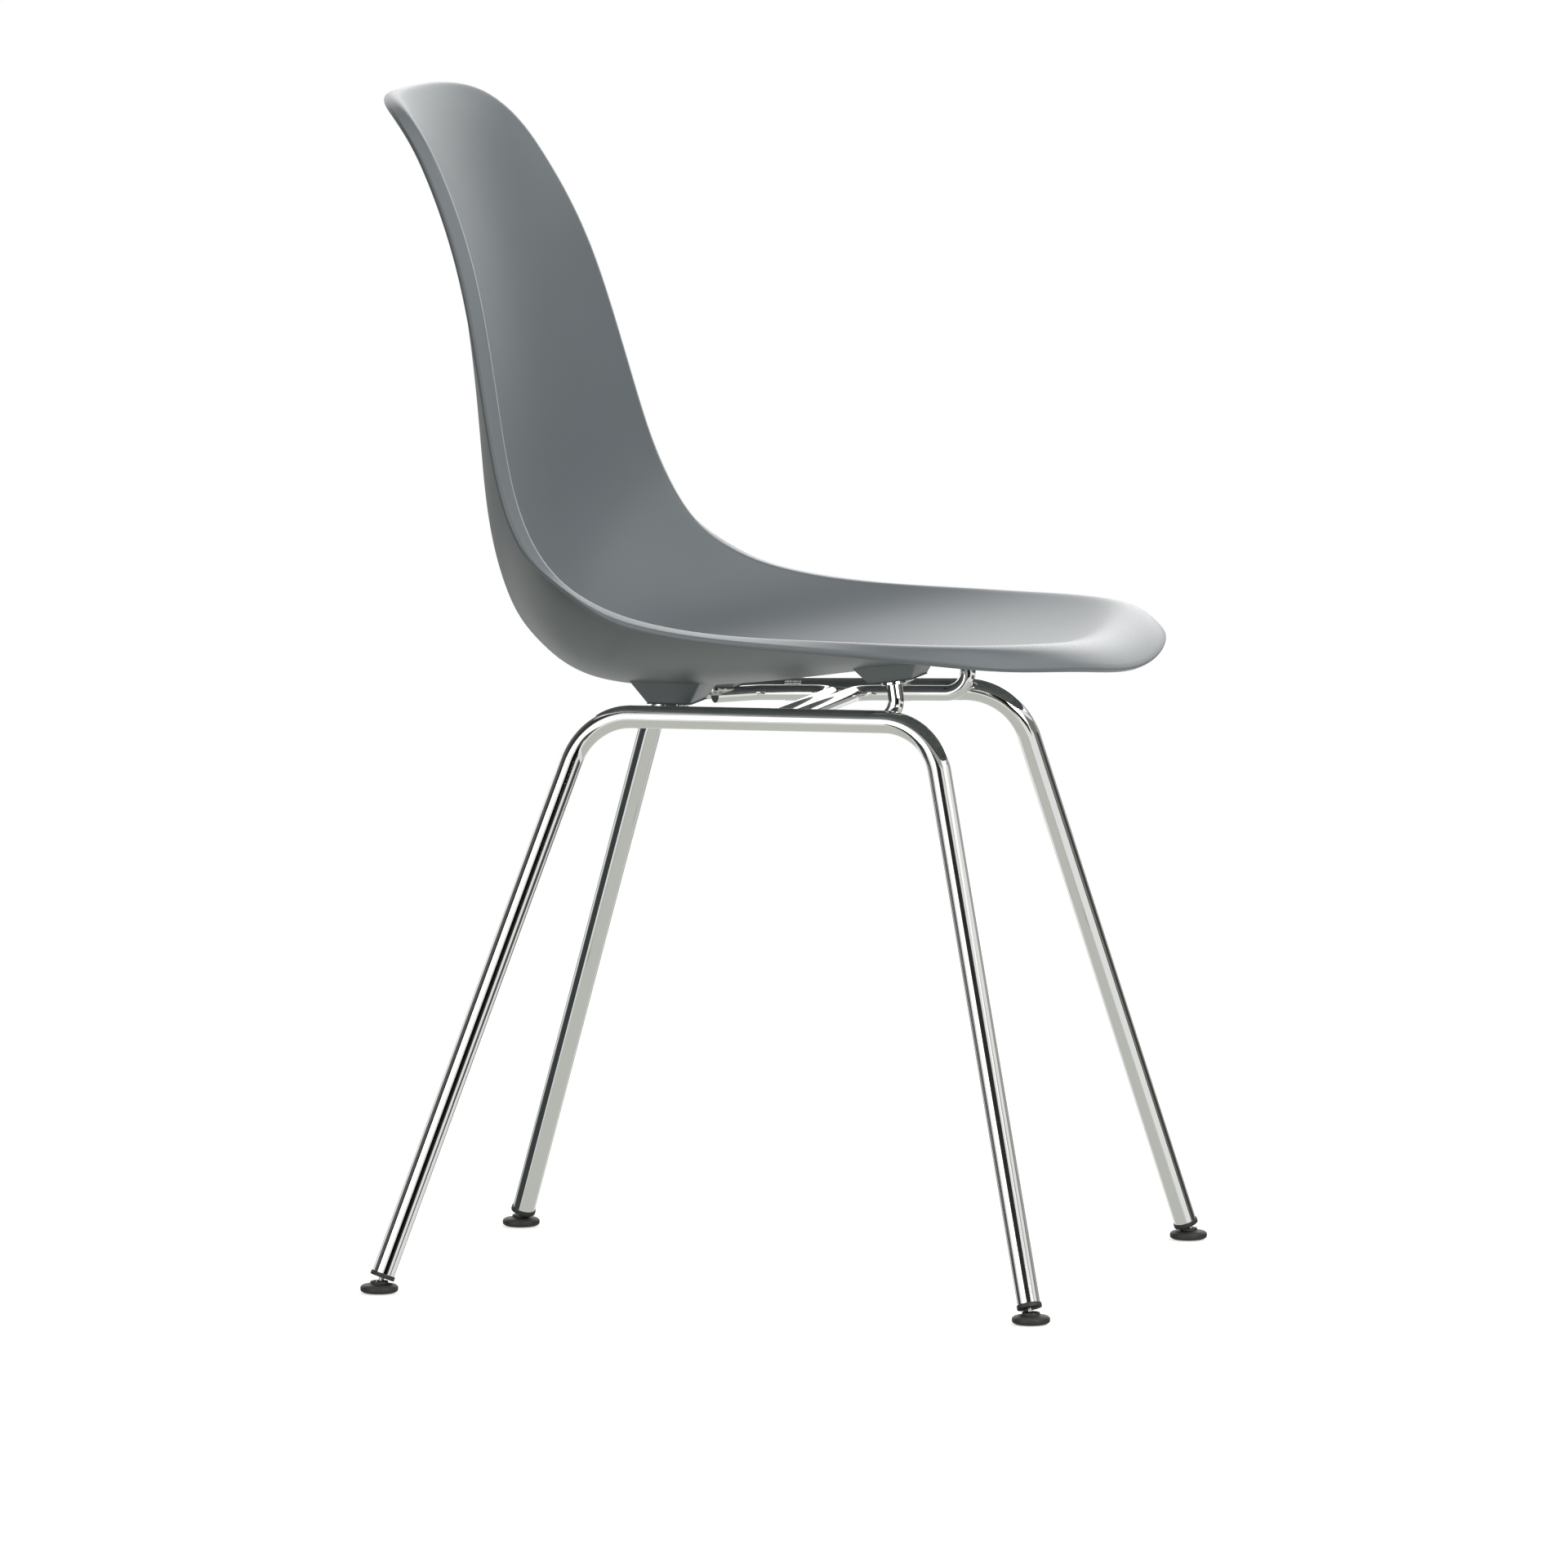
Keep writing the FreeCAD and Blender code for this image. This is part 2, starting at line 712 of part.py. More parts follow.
def cut_hex_key(body, turn):
    """Hexagon socket in a screw's head."""
    tip = "sizes.screw_key_size / sqrt(3)"
    half_tip = "sizes.screw_key_size / (2 * sqrt(3))"
    flat = "sizes.screw_key_size / 2"
    corners = [(tip, "0"), (half_tip, flat), ("-" + half_tip, flat), ("-" + tip, "0"),
               ("-" + half_tip, "-" + flat), (half_tip, "-" + flat)]
    pocket = body.newObject("PartDesign::Pocket", body.Name + "_socket")
    pocket.Profile = bound_profile(body, body.Name + "_key", "XY_Plane", corners)
    pocket.setExpression("Length", "sizes.screw_key_depth")
    pocket.Reversed = True
    doc.recompute()
    if pocket.Shape.Volume >= turn.Shape.Volume:
        raise ValueError("the screw's socket cuts nothing")


# Swivel glides

def glide_frame(end, side):
    """Placement on a leg's axis, at the ball's centre."""
    return Placement(ball_centre(end, side),
                     Rotation(Vector(0, 0, 1), leg_direction(end, side)))


def glide_plug(label, place):
    """Nylon plug: a collar on the tube's end and a bored shank inside it."""
    bore = "sizes.stem_diameter / 2 + sizes.running_clearance"
    collar = "sizes.collar_diameter / 2"
    shank = "sizes.tube_diameter / 2 - sizes.tube_wall - sizes.seat_clearance"
    low = "sizes.collar_gap"
    seat = "sizes.collar_gap + sizes.collar_height"
    top = seat + " + sizes.plug_length"
    corners = [(bore, low), (collar, low), (collar, seat), (shank, seat), (shank, top),
               (bore, top)]
    return turned(label, corners, place)


def ball_stud(label, place):
    """Steel ball on a stem that turns in the plug and is held by a head above it."""
    stem = "sizes.stem_diameter / 2"
    head = "sizes.stem_head_diameter / 2"
    head_low = ("sizes.collar_gap + sizes.collar_height + sizes.plug_length"
                " + sizes.running_clearance")
    head_top = head_low + " + sizes.stem_head_height"
    ball = doc.addObject("Part::Sphere", label + "_ball")
    ball.setExpression("Radius", "sizes.ball_diameter / 2")
    shaft = doc.addObject("Part::Cylinder", label + "_stem")
    shaft.setExpression("Radius", stem)
    shaft.setExpression("Height", head_top)
    cap = doc.addObject("Part::Cylinder", label + "_head")
    cap.setExpression("Radius", head)
    cap.setExpression("Height", "sizes.stem_head_height")
    cap.setExpression("Placement.Base.z", head_low)
    stud = doc.addObject("Part::MultiFuse", label)
    stud.Shapes = [ball, shaft, cap]
    stud.Placement = place
    return keep(stud, label)


def glide_foot(label, end, side):
    """Nylon disc that tilts on the ball, with its neck round the socket."""
    centre = ball_centre(end, side)
    corners = [
        ("0", "0"),
        ("sizes.glide_sole_diameter / 2", "0"),
        ("sizes.glide_diameter / 2", "sizes.glide_rim_low"),
        ("sizes.glide_diameter / 2", "sizes.glide_rim_high"),
        ("sizes.glide_top_diameter / 2", "sizes.glide_top_height"),
        ("sizes.glide_neck_diameter / 2", "sizes.glide_neck_base"),
        ("sizes.glide_neck_diameter / 2", "sizes.glide_neck_height"),
        ("0", "sizes.glide_neck_height"),
    ]
    body, _ = revolve(label + "_blank", corners)
    socket = doc.addObject("Part::Sphere", label + "_socket")
    socket.setExpression("Radius", "sizes.ball_diameter / 2 + sizes.running_clearance")
    socket.setExpression("Placement.Base.z", "sizes.ball_height")
    mouth = doc.addObject("Part::Cone", label + "_mouth")
    lip = size("socket_lip_rise")
    ball = size("ball_diameter") / 2 + size("running_clearance")
    mouth.Radius1 = math.sqrt(ball ** 2 - lip ** 2)
    mouth.setExpression("Radius2", "sizes.socket_mouth_diameter / 2")
    mouth.setExpression("Height",
                        "sizes.glide_neck_height - sizes.ball_height - sizes.socket_lip_rise")
    mouth.setExpression("Placement.Base.z", "sizes.ball_height + sizes.socket_lip_rise")
    cavity = doc.addObject("Part::MultiFuse", label + "_cavity")
    cavity.Shapes = [socket, mouth]
    foot = doc.addObject("Part::Cut", label)
    foot.Base = body
    foot.Tool = cavity
    foot.Placement = Placement(Vector(centre.x, centre.y, 0), Rotation())
    return keep(foot, label)


# Shell with its four moulded bosses

def boss_block(place):
    """Drafted block that stands on a plate, tall enough to reach the seat's wall."""
    length = size("boss_length")
    width = size("boss_width")
    height = size("boss_height")
    spread = 2 * height * math.tan(math.radians(size("boss_draft")))
    wires = []
    for level, wider in ((0, 0), (height, spread)):
        half_x = (width + wider) / 2
        half_y = (length + wider) / 2
        corners = [Vector(-half_x, -half_y, level), Vector(half_x, -half_y, level),
                   Vector(half_x, half_y, level), Vector(-half_x, half_y, level)]
        wires.append(Part.makePolygon(corners + corners[:1]))
    block = Part.makeLoft(wires, True, True)
    block.Placement = place
    return block


def shell():
    """One-piece seat and back, fused with its bosses and bored for their inserts."""
    solid = closed_surface(shell_rings(RAYS_PER_SIDE))
    room = room_above_mid_wall()
    gap = size("seat_clearance")
    for end in ("front", "rear"):
        for side in (1, -1):
            place = mount_frame(end, side)
            solid = solid.fuse(boss_block(place).cut(room))
            for radius, length in (
                (size("mount_ring_diameter") / 2 + gap, size("mount_ring_height")),
                (size("insert_diameter") / 2 + gap, size("insert_length")),
            ):
                bore = Part.makeCylinder(radius, length)
                bore.Placement = screw_frame(place)
                solid = solid.cut(bore)
    node = doc.addObject("Part::Feature", "shell")
    node.Shape = solid
    return keep(node, "shell")


# The chair

shell()
for side, hand in ((1, "left"), (-1, "right")):
    leg_bow(f"{hand}_leg_bow", side)
front_rod()
rear_rod()
for side, hand in ((1, "left"), (-1, "right")):
    for end in ("front", "rear"):
        corner = f"{end}_{hand}"
        place = mount_frame(end, side)
        weld_bead(f"{corner}_weld", depth(end + "_weld"), side)
        mount_plate(f"{corner}_mount_plate", place)
        threaded_insert(f"{corner}_threaded_insert", screw_frame(place))
        shock_ring(f"{corner}_shock_mount", screw_frame(place))
        mount_screw(f"{corner}_mount_screw", screw_frame(place))
        glide_plug(f"{corner}_glide_plug", glide_frame(end, side))
        ball_stud(f"{corner}_ball_stud", glide_frame(end, side))
        glide_foot(f"{corner}_glide_foot", end, side)

doc.recompute()


def check_and_write():
    """Refuse a failed object or an unsound solid, then write one file for each sub-part."""
    for item in doc.Objects:
        if "Invalid" in item.State or "Error" in item.State:
            raise ValueError(f"{item.Label} failed: {item.State}")
    for node in parts:
        if node.Shape.isNull() or not node.Shape.isValid():
            raise ValueError(f"{node.Label} has no sound shape")
    os.makedirs("parts", exist_ok=True)
    for node in parts:
        node.Shape.exportStep(f"parts/{node.Label}.step")
        print(f"{node.Label}: {len(node.Shape.Solids)} solid, {node.Shape.Volume:.0f} mm3")


check_and_write()
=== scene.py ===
"""Looks of a moulded plastic shell chair on a chromed four-leg base.

Lengths named in the classes are millimetres; meshes are in metres. Front is -Y, the sitter's right
is -X and the floor is z = 0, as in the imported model.
"""

import logging
from dataclasses import dataclass, field
from enum import Enum
from math import asin, atan2, copysign, cos, exp, pi, radians, sin, sqrt, tan, tau
from typing import Any, Sequence

import bmesh
import bpy
import numpy as np
from bpy.types import Material, Mesh, Node, NodeSocket, NodeTree, Object, World
from mathutils import Matrix, Vector


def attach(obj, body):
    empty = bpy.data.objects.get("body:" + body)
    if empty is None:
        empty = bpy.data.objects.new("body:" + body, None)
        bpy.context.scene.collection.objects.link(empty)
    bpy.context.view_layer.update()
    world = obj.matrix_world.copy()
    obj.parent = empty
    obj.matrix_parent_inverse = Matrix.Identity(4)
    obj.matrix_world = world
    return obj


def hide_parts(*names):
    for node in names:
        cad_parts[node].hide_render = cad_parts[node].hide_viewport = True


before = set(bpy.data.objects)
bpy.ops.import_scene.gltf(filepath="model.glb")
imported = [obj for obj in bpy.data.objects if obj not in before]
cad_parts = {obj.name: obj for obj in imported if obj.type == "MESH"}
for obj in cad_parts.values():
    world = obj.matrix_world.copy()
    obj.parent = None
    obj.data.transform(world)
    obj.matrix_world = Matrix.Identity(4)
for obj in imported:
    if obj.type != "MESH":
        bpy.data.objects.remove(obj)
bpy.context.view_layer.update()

log = logging.getLogger("shell_chair")
MM = 0.001
BODY = "chair"
SMOOTH_LIMIT = radians(32)


class Hand(Enum):
    """Which half of the chair, seen by someone sitting in it."""

    LEFT = 1
    RIGHT = -1


class End(Enum):
    """Front or rear of the chair."""

    FRONT = "front"
    REAR = "rear"


@dataclass(frozen=True)
class Corner:
    """One corner of the chair, with its leg, glide and mount."""

    end: End
    hand: Hand

    @property
    def name(self) -> str:
        """What the names of its nodes begin with."""
        return f"{self.end.value}_{self.hand.name.lower()}"


CORNERS = [Corner(end, hand) for hand in Hand for end in End]


# Nodes of shader and geometry trees

def linear(colour: str) -> tuple[float, float, float, float]:
    """Linear colour of an sRGB hex value.

    Args:
        colour: six hex digits after a hash.

    Returns:
        Red, green, blue and an alpha of one.
    """
    parts = [int(colour[place:place + 2], 16) / 255 for place in (1, 3, 5)]
    bent = [v / 12.92 if v <= 0.04045 else ((v + 0.055) / 1.055) ** 2.4 for v in parts]
    return (bent[0], bent[1], bent[2], 1.0)


def add_node(
    tree: NodeTree, kind: str, inputs: dict[Any, Any] | None = None, **settings: Any
) -> Node:
    """Add a node with its settings, input values and links.

    Args:
        tree: the tree that gets the node.
        kind: the node's type name.
        inputs: values, sockets or nodes by input name or number; a node gives its first output.
        settings: properties of the node.

    Returns:
        The new node.
    """
    node = tree.nodes.new(kind)
    for name, value in settings.items():
        setattr(node, name, value)
    for key, value in (inputs or {}).items():
        if isinstance(value, Node):
            value = value.outputs[0]
        if isinstance(value, NodeSocket):
            tree.links.new(value, node.inputs[key])
        else:
            node.inputs[key].default_value = value
    return node


def polar(radius: float, angle: float, level: float) -> Vector:
    """Point round the Z axis."""
    return Vector((radius * cos(angle), radius * sin(angle), level))


def round_angles(count: int) -> list[float]:
    """Evenly spaced angles once round."""
    return [tau * number / count for number in range(count)]


def fresh_tree(owner: Material | World) -> NodeTree:
    """Emptied node tree of a material or world."""
    owner.use_nodes = True
    owner.node_tree.nodes.clear()
    return owner.node_tree


# Finishes

@dataclass(frozen=True)
class Finish:
    """A material: shades in clouds, and a grain behind its roughness and relief.

    The second shade shows where the clouds pass the first threshold, and covers most past the
    second. Without clouds of their own, the shades follow the grain. A finish without an IOR is a
    metal. Its polish is how much smoother the places are that hands touch.
    """

    name: str
    slot: str
    shades: tuple[str, ...]
    grain_mm: float
    roughness: float
    speckle: float
    detail: float = 2.0
    fineness: float = 0.5
    cloud_mm: float = 0.0
    thresholds: tuple[float, float] = (0.0, 1.0)
    cover: float = 1.0
    polish: float = 0.0
    relief: float = 0.0
    relief_mm: float = 0.0
    ior: float | None = None

    def material(self) -> Material:
        """Material of the finish, made once."""
        made = bpy.data.materials.get(self.name)
        if made is None:
            made = bpy.data.materials.new(self.name)
            tree = fresh_tree(made)
            add_node(tree, "ShaderNodeOutputMaterial", {"Surface": self.shader(tree)})
        return made

    def shader(self, tree: NodeTree) -> Node:
        """Shader of the finish.

        Args:
            tree: the material's tree.

        Returns:
            The shader's node.
        """
        place = add_node(tree, "ShaderNodeTexCoord").outputs["Object"]
        grain = add_node(tree, "ShaderNodeTexNoise", {
            "Vector": place, "Scale": 1 / (self.grain_mm * MM), "Detail": self.detail,
            "Roughness": self.fineness})
        rough = self.roughness
        if self.polish:
            handled = add_node(tree, "ShaderNodeAttribute", attribute_name="handled")
            rough = add_node(tree, "ShaderNodeMath", {
                0: handled.outputs["Fac"], 1: -self.polish, 2: rough}, operation="MULTIPLY_ADD")
        rough = add_node(tree, "ShaderNodeMath", {0: grain, 1: self.speckle, 2: rough},
                         operation="MULTIPLY_ADD")
        look = {"Base Color": linear(self.shades[0]), "Roughness": rough}
        look |= {"Metallic": 1.0} if self.ior is None else {"IOR": self.ior}
        if len(self.shades) > 1:
            cloud = add_node(tree, "ShaderNodeTexNoise", {
                "Vector": place, "Scale": 1 / (self.cloud_mm * MM)}) if self.cloud_mm else grain
            share = add_node(tree, "ShaderNodeMapRange", {
                "Value": cloud, 1: self.thresholds[0], 2: self.thresholds[1], 4: self.cover})
            look["Base Color"] = add_node(tree, "ShaderNodeMix", {
                "Factor": share, 6: linear(self.shades[0]), 7: linear(self.shades[1])},
                data_type="RGBA").outputs[2]
        if self.relief:
            look["Normal"] = add_node(tree, "ShaderNodeBump", {
                "Height": grain, "Strength": self.relief, "Distance": self.relief_mm * MM})
        return add_node(tree, "ShaderNodeBsdfPrincipled", look)


# Injection-moulded polypropylene, dyed through: the matt grain of the eroded mould makes its
# highlights broad and soft, flow in the mould clouds the colour faintly, and hands polish the rim.
# The real grain is near 0.3 mm; it is drawn coarser to show at all.
PLASTIC = Finish(
    "moulded_polypropylene_blue_grey", "shell_plastic", ("#696f72", "#6f767a"), grain_mm=1.1,
    roughness=0.36, speckle=0.08, detail=3.0, fineness=0.6, cloud_mm=140.0, polish=0.12,
    relief=0.5, relief_mm=0.035, ior=1.49)
# Polished and chrome plated steel: it mirrors the room almost unbroken, with the faintest
# waviness and haze from the polishing wheel.
CHROME = Finish(
    "polished_chrome_plate", "chromed_tube", ("#dcdcda",), grain_mm=9.0, roughness=0.03,
    speckle=0.045, detail=3.0, relief=0.12, relief_mm=0.05)
# Moulded nylon with carbon black: matt, with small pale scuffs from sliding on the floor.
NYLON = Finish(
    "moulded_black_nylon", "black_nylon", ("#262624", "#3c3b38"), grain_mm=2.4, roughness=0.45,
    speckle=0.25, detail=4.0, fineness=0.65, thresholds=(0.52, 0.75), cover=0.7, relief=0.4,
    relief_mm=0.04, ior=1.53)
# Moulded natural rubber: dead matt, with a dusty bloom.
RUBBER = Finish(
    "moulded_black_rubber", "black_rubber", ("#1f1f1e", "#343432"), grain_mm=3.0, roughness=0.8,
    speckle=0.0, detail=3.0, ior=1.52)
# Turned brass and turned, zinc plated steel: fine tool marks break the highlight up a little.
BRASS = Finish("turned_brass", "brass", ("#b08d4e", "#8a6c3a"), 1.2, 0.2, 0.2)
ZINC = Finish("zinc_plated_steel", "plated_steel", ("#b9bab8", "#8f908e"), 1.2, 0.2, 0.2)


# Pieces

def link(name: str, data: Any) -> Object:
    """Object with its data, linked to the scene."""
    made = bpy.data.objects.new(name, data)
    bpy.context.scene.collection.objects.link(made)
    return made


def settle(
    name: str, mesh: Mesh, body: str, stands_for: Sequence[str]
) -> Object:
    """Make a mesh a piece of the chair, smooth but for its sharp edges.

    Args:
        name: the piece's name.
        mesh: its mesh, in metres.
        body: the CAD body that it moves with.
        stands_for: the CAD nodes it replaces.

    Returns:
        The piece.
    """
    mesh.set_sharp_from_angle(angle=SMOOTH_LIMIT)
    piece = link(name, mesh)
    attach(piece, body)
    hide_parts(*stands_for)
    log.info("%s: %d faces on %s", name, len(mesh.polygons), body)
    return piece


def dress_node(name: str, finish: Finish) -> None:
    """Give a CAD node that stays in sight its finish."""
    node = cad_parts[name]
    node.data.materials.clear()
    node.data.materials.append(finish.material())
    log.info("%s: CAD node in %s", name, finish.name)


def round_profile(
    corners: Sequence[tuple[float, float]], radius: float, steps: int = 3
) -> list[tuple[float, float]]:
    """Half profile with its inner corners rounded.

    Args:
        corners: radius and height of each corner, in order.
        radius: radius of the rounding, held to a third of the shorter side.
        steps: pieces of each rounding.

    Returns:
        The rounded profile, first and last corner kept.
    """
    made = [corners[0]]
    for before, corner, after in zip(corners, corners[1:], corners[2:]):
        here = np.array(corner)
        ways = [np.array(other) - here for other in (before, after)]
        lengths = [np.linalg.norm(way) for way in ways]
        reach = min(radius, lengths[0] / 3, lengths[1] / 3)
        start, end = (here + way / length * reach for way, length in zip(ways, lengths))
        for share in np.linspace(0, 1, steps + 1):
            point = start * (1 - share) ** 2 + here * 2 * share * (1 - share) + end * share ** 2
            made.append((float(point[0]), float(point[1])))
    return made + [corners[-1]]


@dataclass
class MeshStore:
    """Points and faces of a piece while it is put together, in millimetres."""

    points: list[Vector] = field(default_factory=list)
    faces: list[list[int]] = field(default_factory=list)

    def row(self, points: Sequence[Vector]) -> list[int]:
        """Add a row of points, or one as a pole, and give their numbers."""
        self.points.extend(points)
        return list(range(len(self.points) - len(points), len(self.points)))

    def skin(self, rows: Sequence[Sequence[int]]) -> None:
        """Join closed rows of points with faces, row after row."""
        width = max(len(row) for row in rows)
        rows = [row if len(row) > 1 else list(row) * width for row in rows]
        for low, high in zip(rows, rows[1:]):
            for side in range(width):
                turn = (side + 1) % width
                face = [low[side], low[turn], high[turn], high[side]]
                face = [v for place, v in enumerate(face) if v != face[place - 1]]
                if len(face) > 2:
                    self.faces.append(face)

    def lathe(
        self, profile: Sequence[tuple[float, float]], place: Matrix, sides: int
    ) -> list[list[int]]:
        """Turn a profile about the place's Z axis.

        Args:
            profile: radius and height; a radius of zero becomes a pole.
            place: where the turned form goes.
            sides: how many faces round it.

        Returns:
            The rows of points, not yet joined.
        """
        angles = round_angles(sides)
        return [self.row([place @ polar(radius, angle, height)
                          for angle in (angles if radius else [0.0])])
                for radius, height in profile]

    def piece(self, name: str, body: str, finish: Finish, stands_for: Sequence[str]) -> Object:
        """Settle the points and faces as a piece, with its faces outwards."""
        mesh = bpy.data.meshes.new(name)
        mesh.from_pydata([tuple(point * MM) for point in self.points], [], self.faces)
        mesh.update()
        shape = bmesh.new()
        shape.from_mesh(mesh)
        bmesh.ops.recalc_face_normals(shape, faces=shape.faces)
        shape.to_mesh(mesh)
        shape.free()
        mesh.polygons.foreach_set("use_smooth", [True] * len(mesh.polygons))
        mesh.materials.append(finish.material())
        return settle(name, mesh, body, stands_for)


@dataclass(frozen=True)
class ChairSizes:
    """Sizes that more than one sub-assembly takes, in millimetres, as in the CAD source."""

    seat_z: float = 424.0
    origin_y: float = 4.4
    shell_wall: float = 5.0
    tube_diameter: float = 16.0
    tube_wall: float = 1.5
    bow_bend: float = 45.0
    base_depth: float = 483.0
    front_foot_x: float = 225.7
    rear_foot_x: float = 180.7
    front_corner: tuple[float, float, float] = (115.0, -142.3, 19.8)
    rear_corner: tuple[float, float, float] = (95.3, 112.0, 23.1)
    rod_diameter: float = 11.0
    rod_drop: float = 1.5
    rod_weld_gap: float = 0.05
    rod_bend: float = 16.0
    plate_width: float = 18.0
    plate_thickness: float = 2.6
    plate_half_pitch: float = 11.0
    front_mount_y: float = -111.0
    front_mount_rise: float = 7.5
    front_mount_tilt: float = 8.0
    rear_mount: tuple[float, float] = (56.0, 58.0)
    rear_rod_turn_y: float = 38.0
    ball_height: float = 5.5
    collar_gap: float = 5.5
    collar_height: float = 3.2

    def foot(self, corner: Corner) -> Vector:
        """Centre of a glide's ball."""
        x, y = ((self.front_foot_x, -self.base_depth / 2) if corner.end is End.FRONT
                else (self.rear_foot_x, self.base_depth / 2))
        return Vector((corner.hand.value * x, y - self.origin_y, self.ball_height))

    def knee(self, corner: Corner) -> Vector:
        """Where a leg's centre line meets the bow's top run."""
        x, y, drop = self.front_corner if corner.end is End.FRONT else self.rear_corner
        return Vector((corner.hand.value * x, y - self.origin_y, self.seat_z - drop))

    def leg_up(self, corner: Corner) -> Vector:
        """Unit vector up a leg."""
        return (self.knee(corner) - self.foot(corner)).normalized()

    def bow_at(self, y: float, hand: Hand) -> Vector:
        """Point on a bow's top run at a place along it."""
        front, rear = (self.knee(Corner(end, hand)) for end in End)
        return front.lerp(rear, (y - front.y) / (rear.y - front.y))

    def rod_at(self, y: float, hand: Hand) -> Vector:
        """Centre of a brace rod where it lies along the inside of a bow."""
        reach = (self.tube_diameter + self.rod_diameter) / 2 + self.rod_weld_gap
        beside = sqrt(reach ** 2 - self.rod_drop ** 2)
        return self.bow_at(y, hand) - Vector((hand.value * beside, 0, self.rod_drop))

    def mount_place(self, corner: Corner) -> Matrix:
        """Placement of a mount, Z up its plate's normal and X outward.

        Args:
            corner: the mount's corner.

        Returns:
            The matrix, with its origin on the plate's upper face.
        """
        hand, tilt = corner.hand, 0.0
        if corner.end is End.REAR:
            x, y = hand.value * self.rear_mount[0], self.rear_mount[1] - self.origin_y
            rod = self.rod_at(self.rear_rod_turn_y - self.origin_y, hand)
            z = rod.z + self.rod_diameter / 2 + self.plate_thickness
        else:
            y, z = self.front_mount_y - self.origin_y, self.seat_z + self.front_mount_rise
            x = self.rod_at(y, hand).x - hand.value * self.plate_half_pitch
            tilt = -radians(self.front_mount_tilt)
        turn = 0.0 if hand is Hand.LEFT else pi
        return (Matrix.Translation((x, y, z)) @ Matrix.Rotation(tilt, 4, "X")
                @ Matrix.Rotation(turn, 4, "Z"))

    def glide_place(self, corner: Corner) -> Matrix:
        """Placement on a leg's axis, at the ball's centre."""
        turn = self.leg_up(corner).to_track_quat("Z", "Y").to_matrix().to_4x4()
        return Matrix.Translation(self.foot(corner)) @ turn


# Seat and back

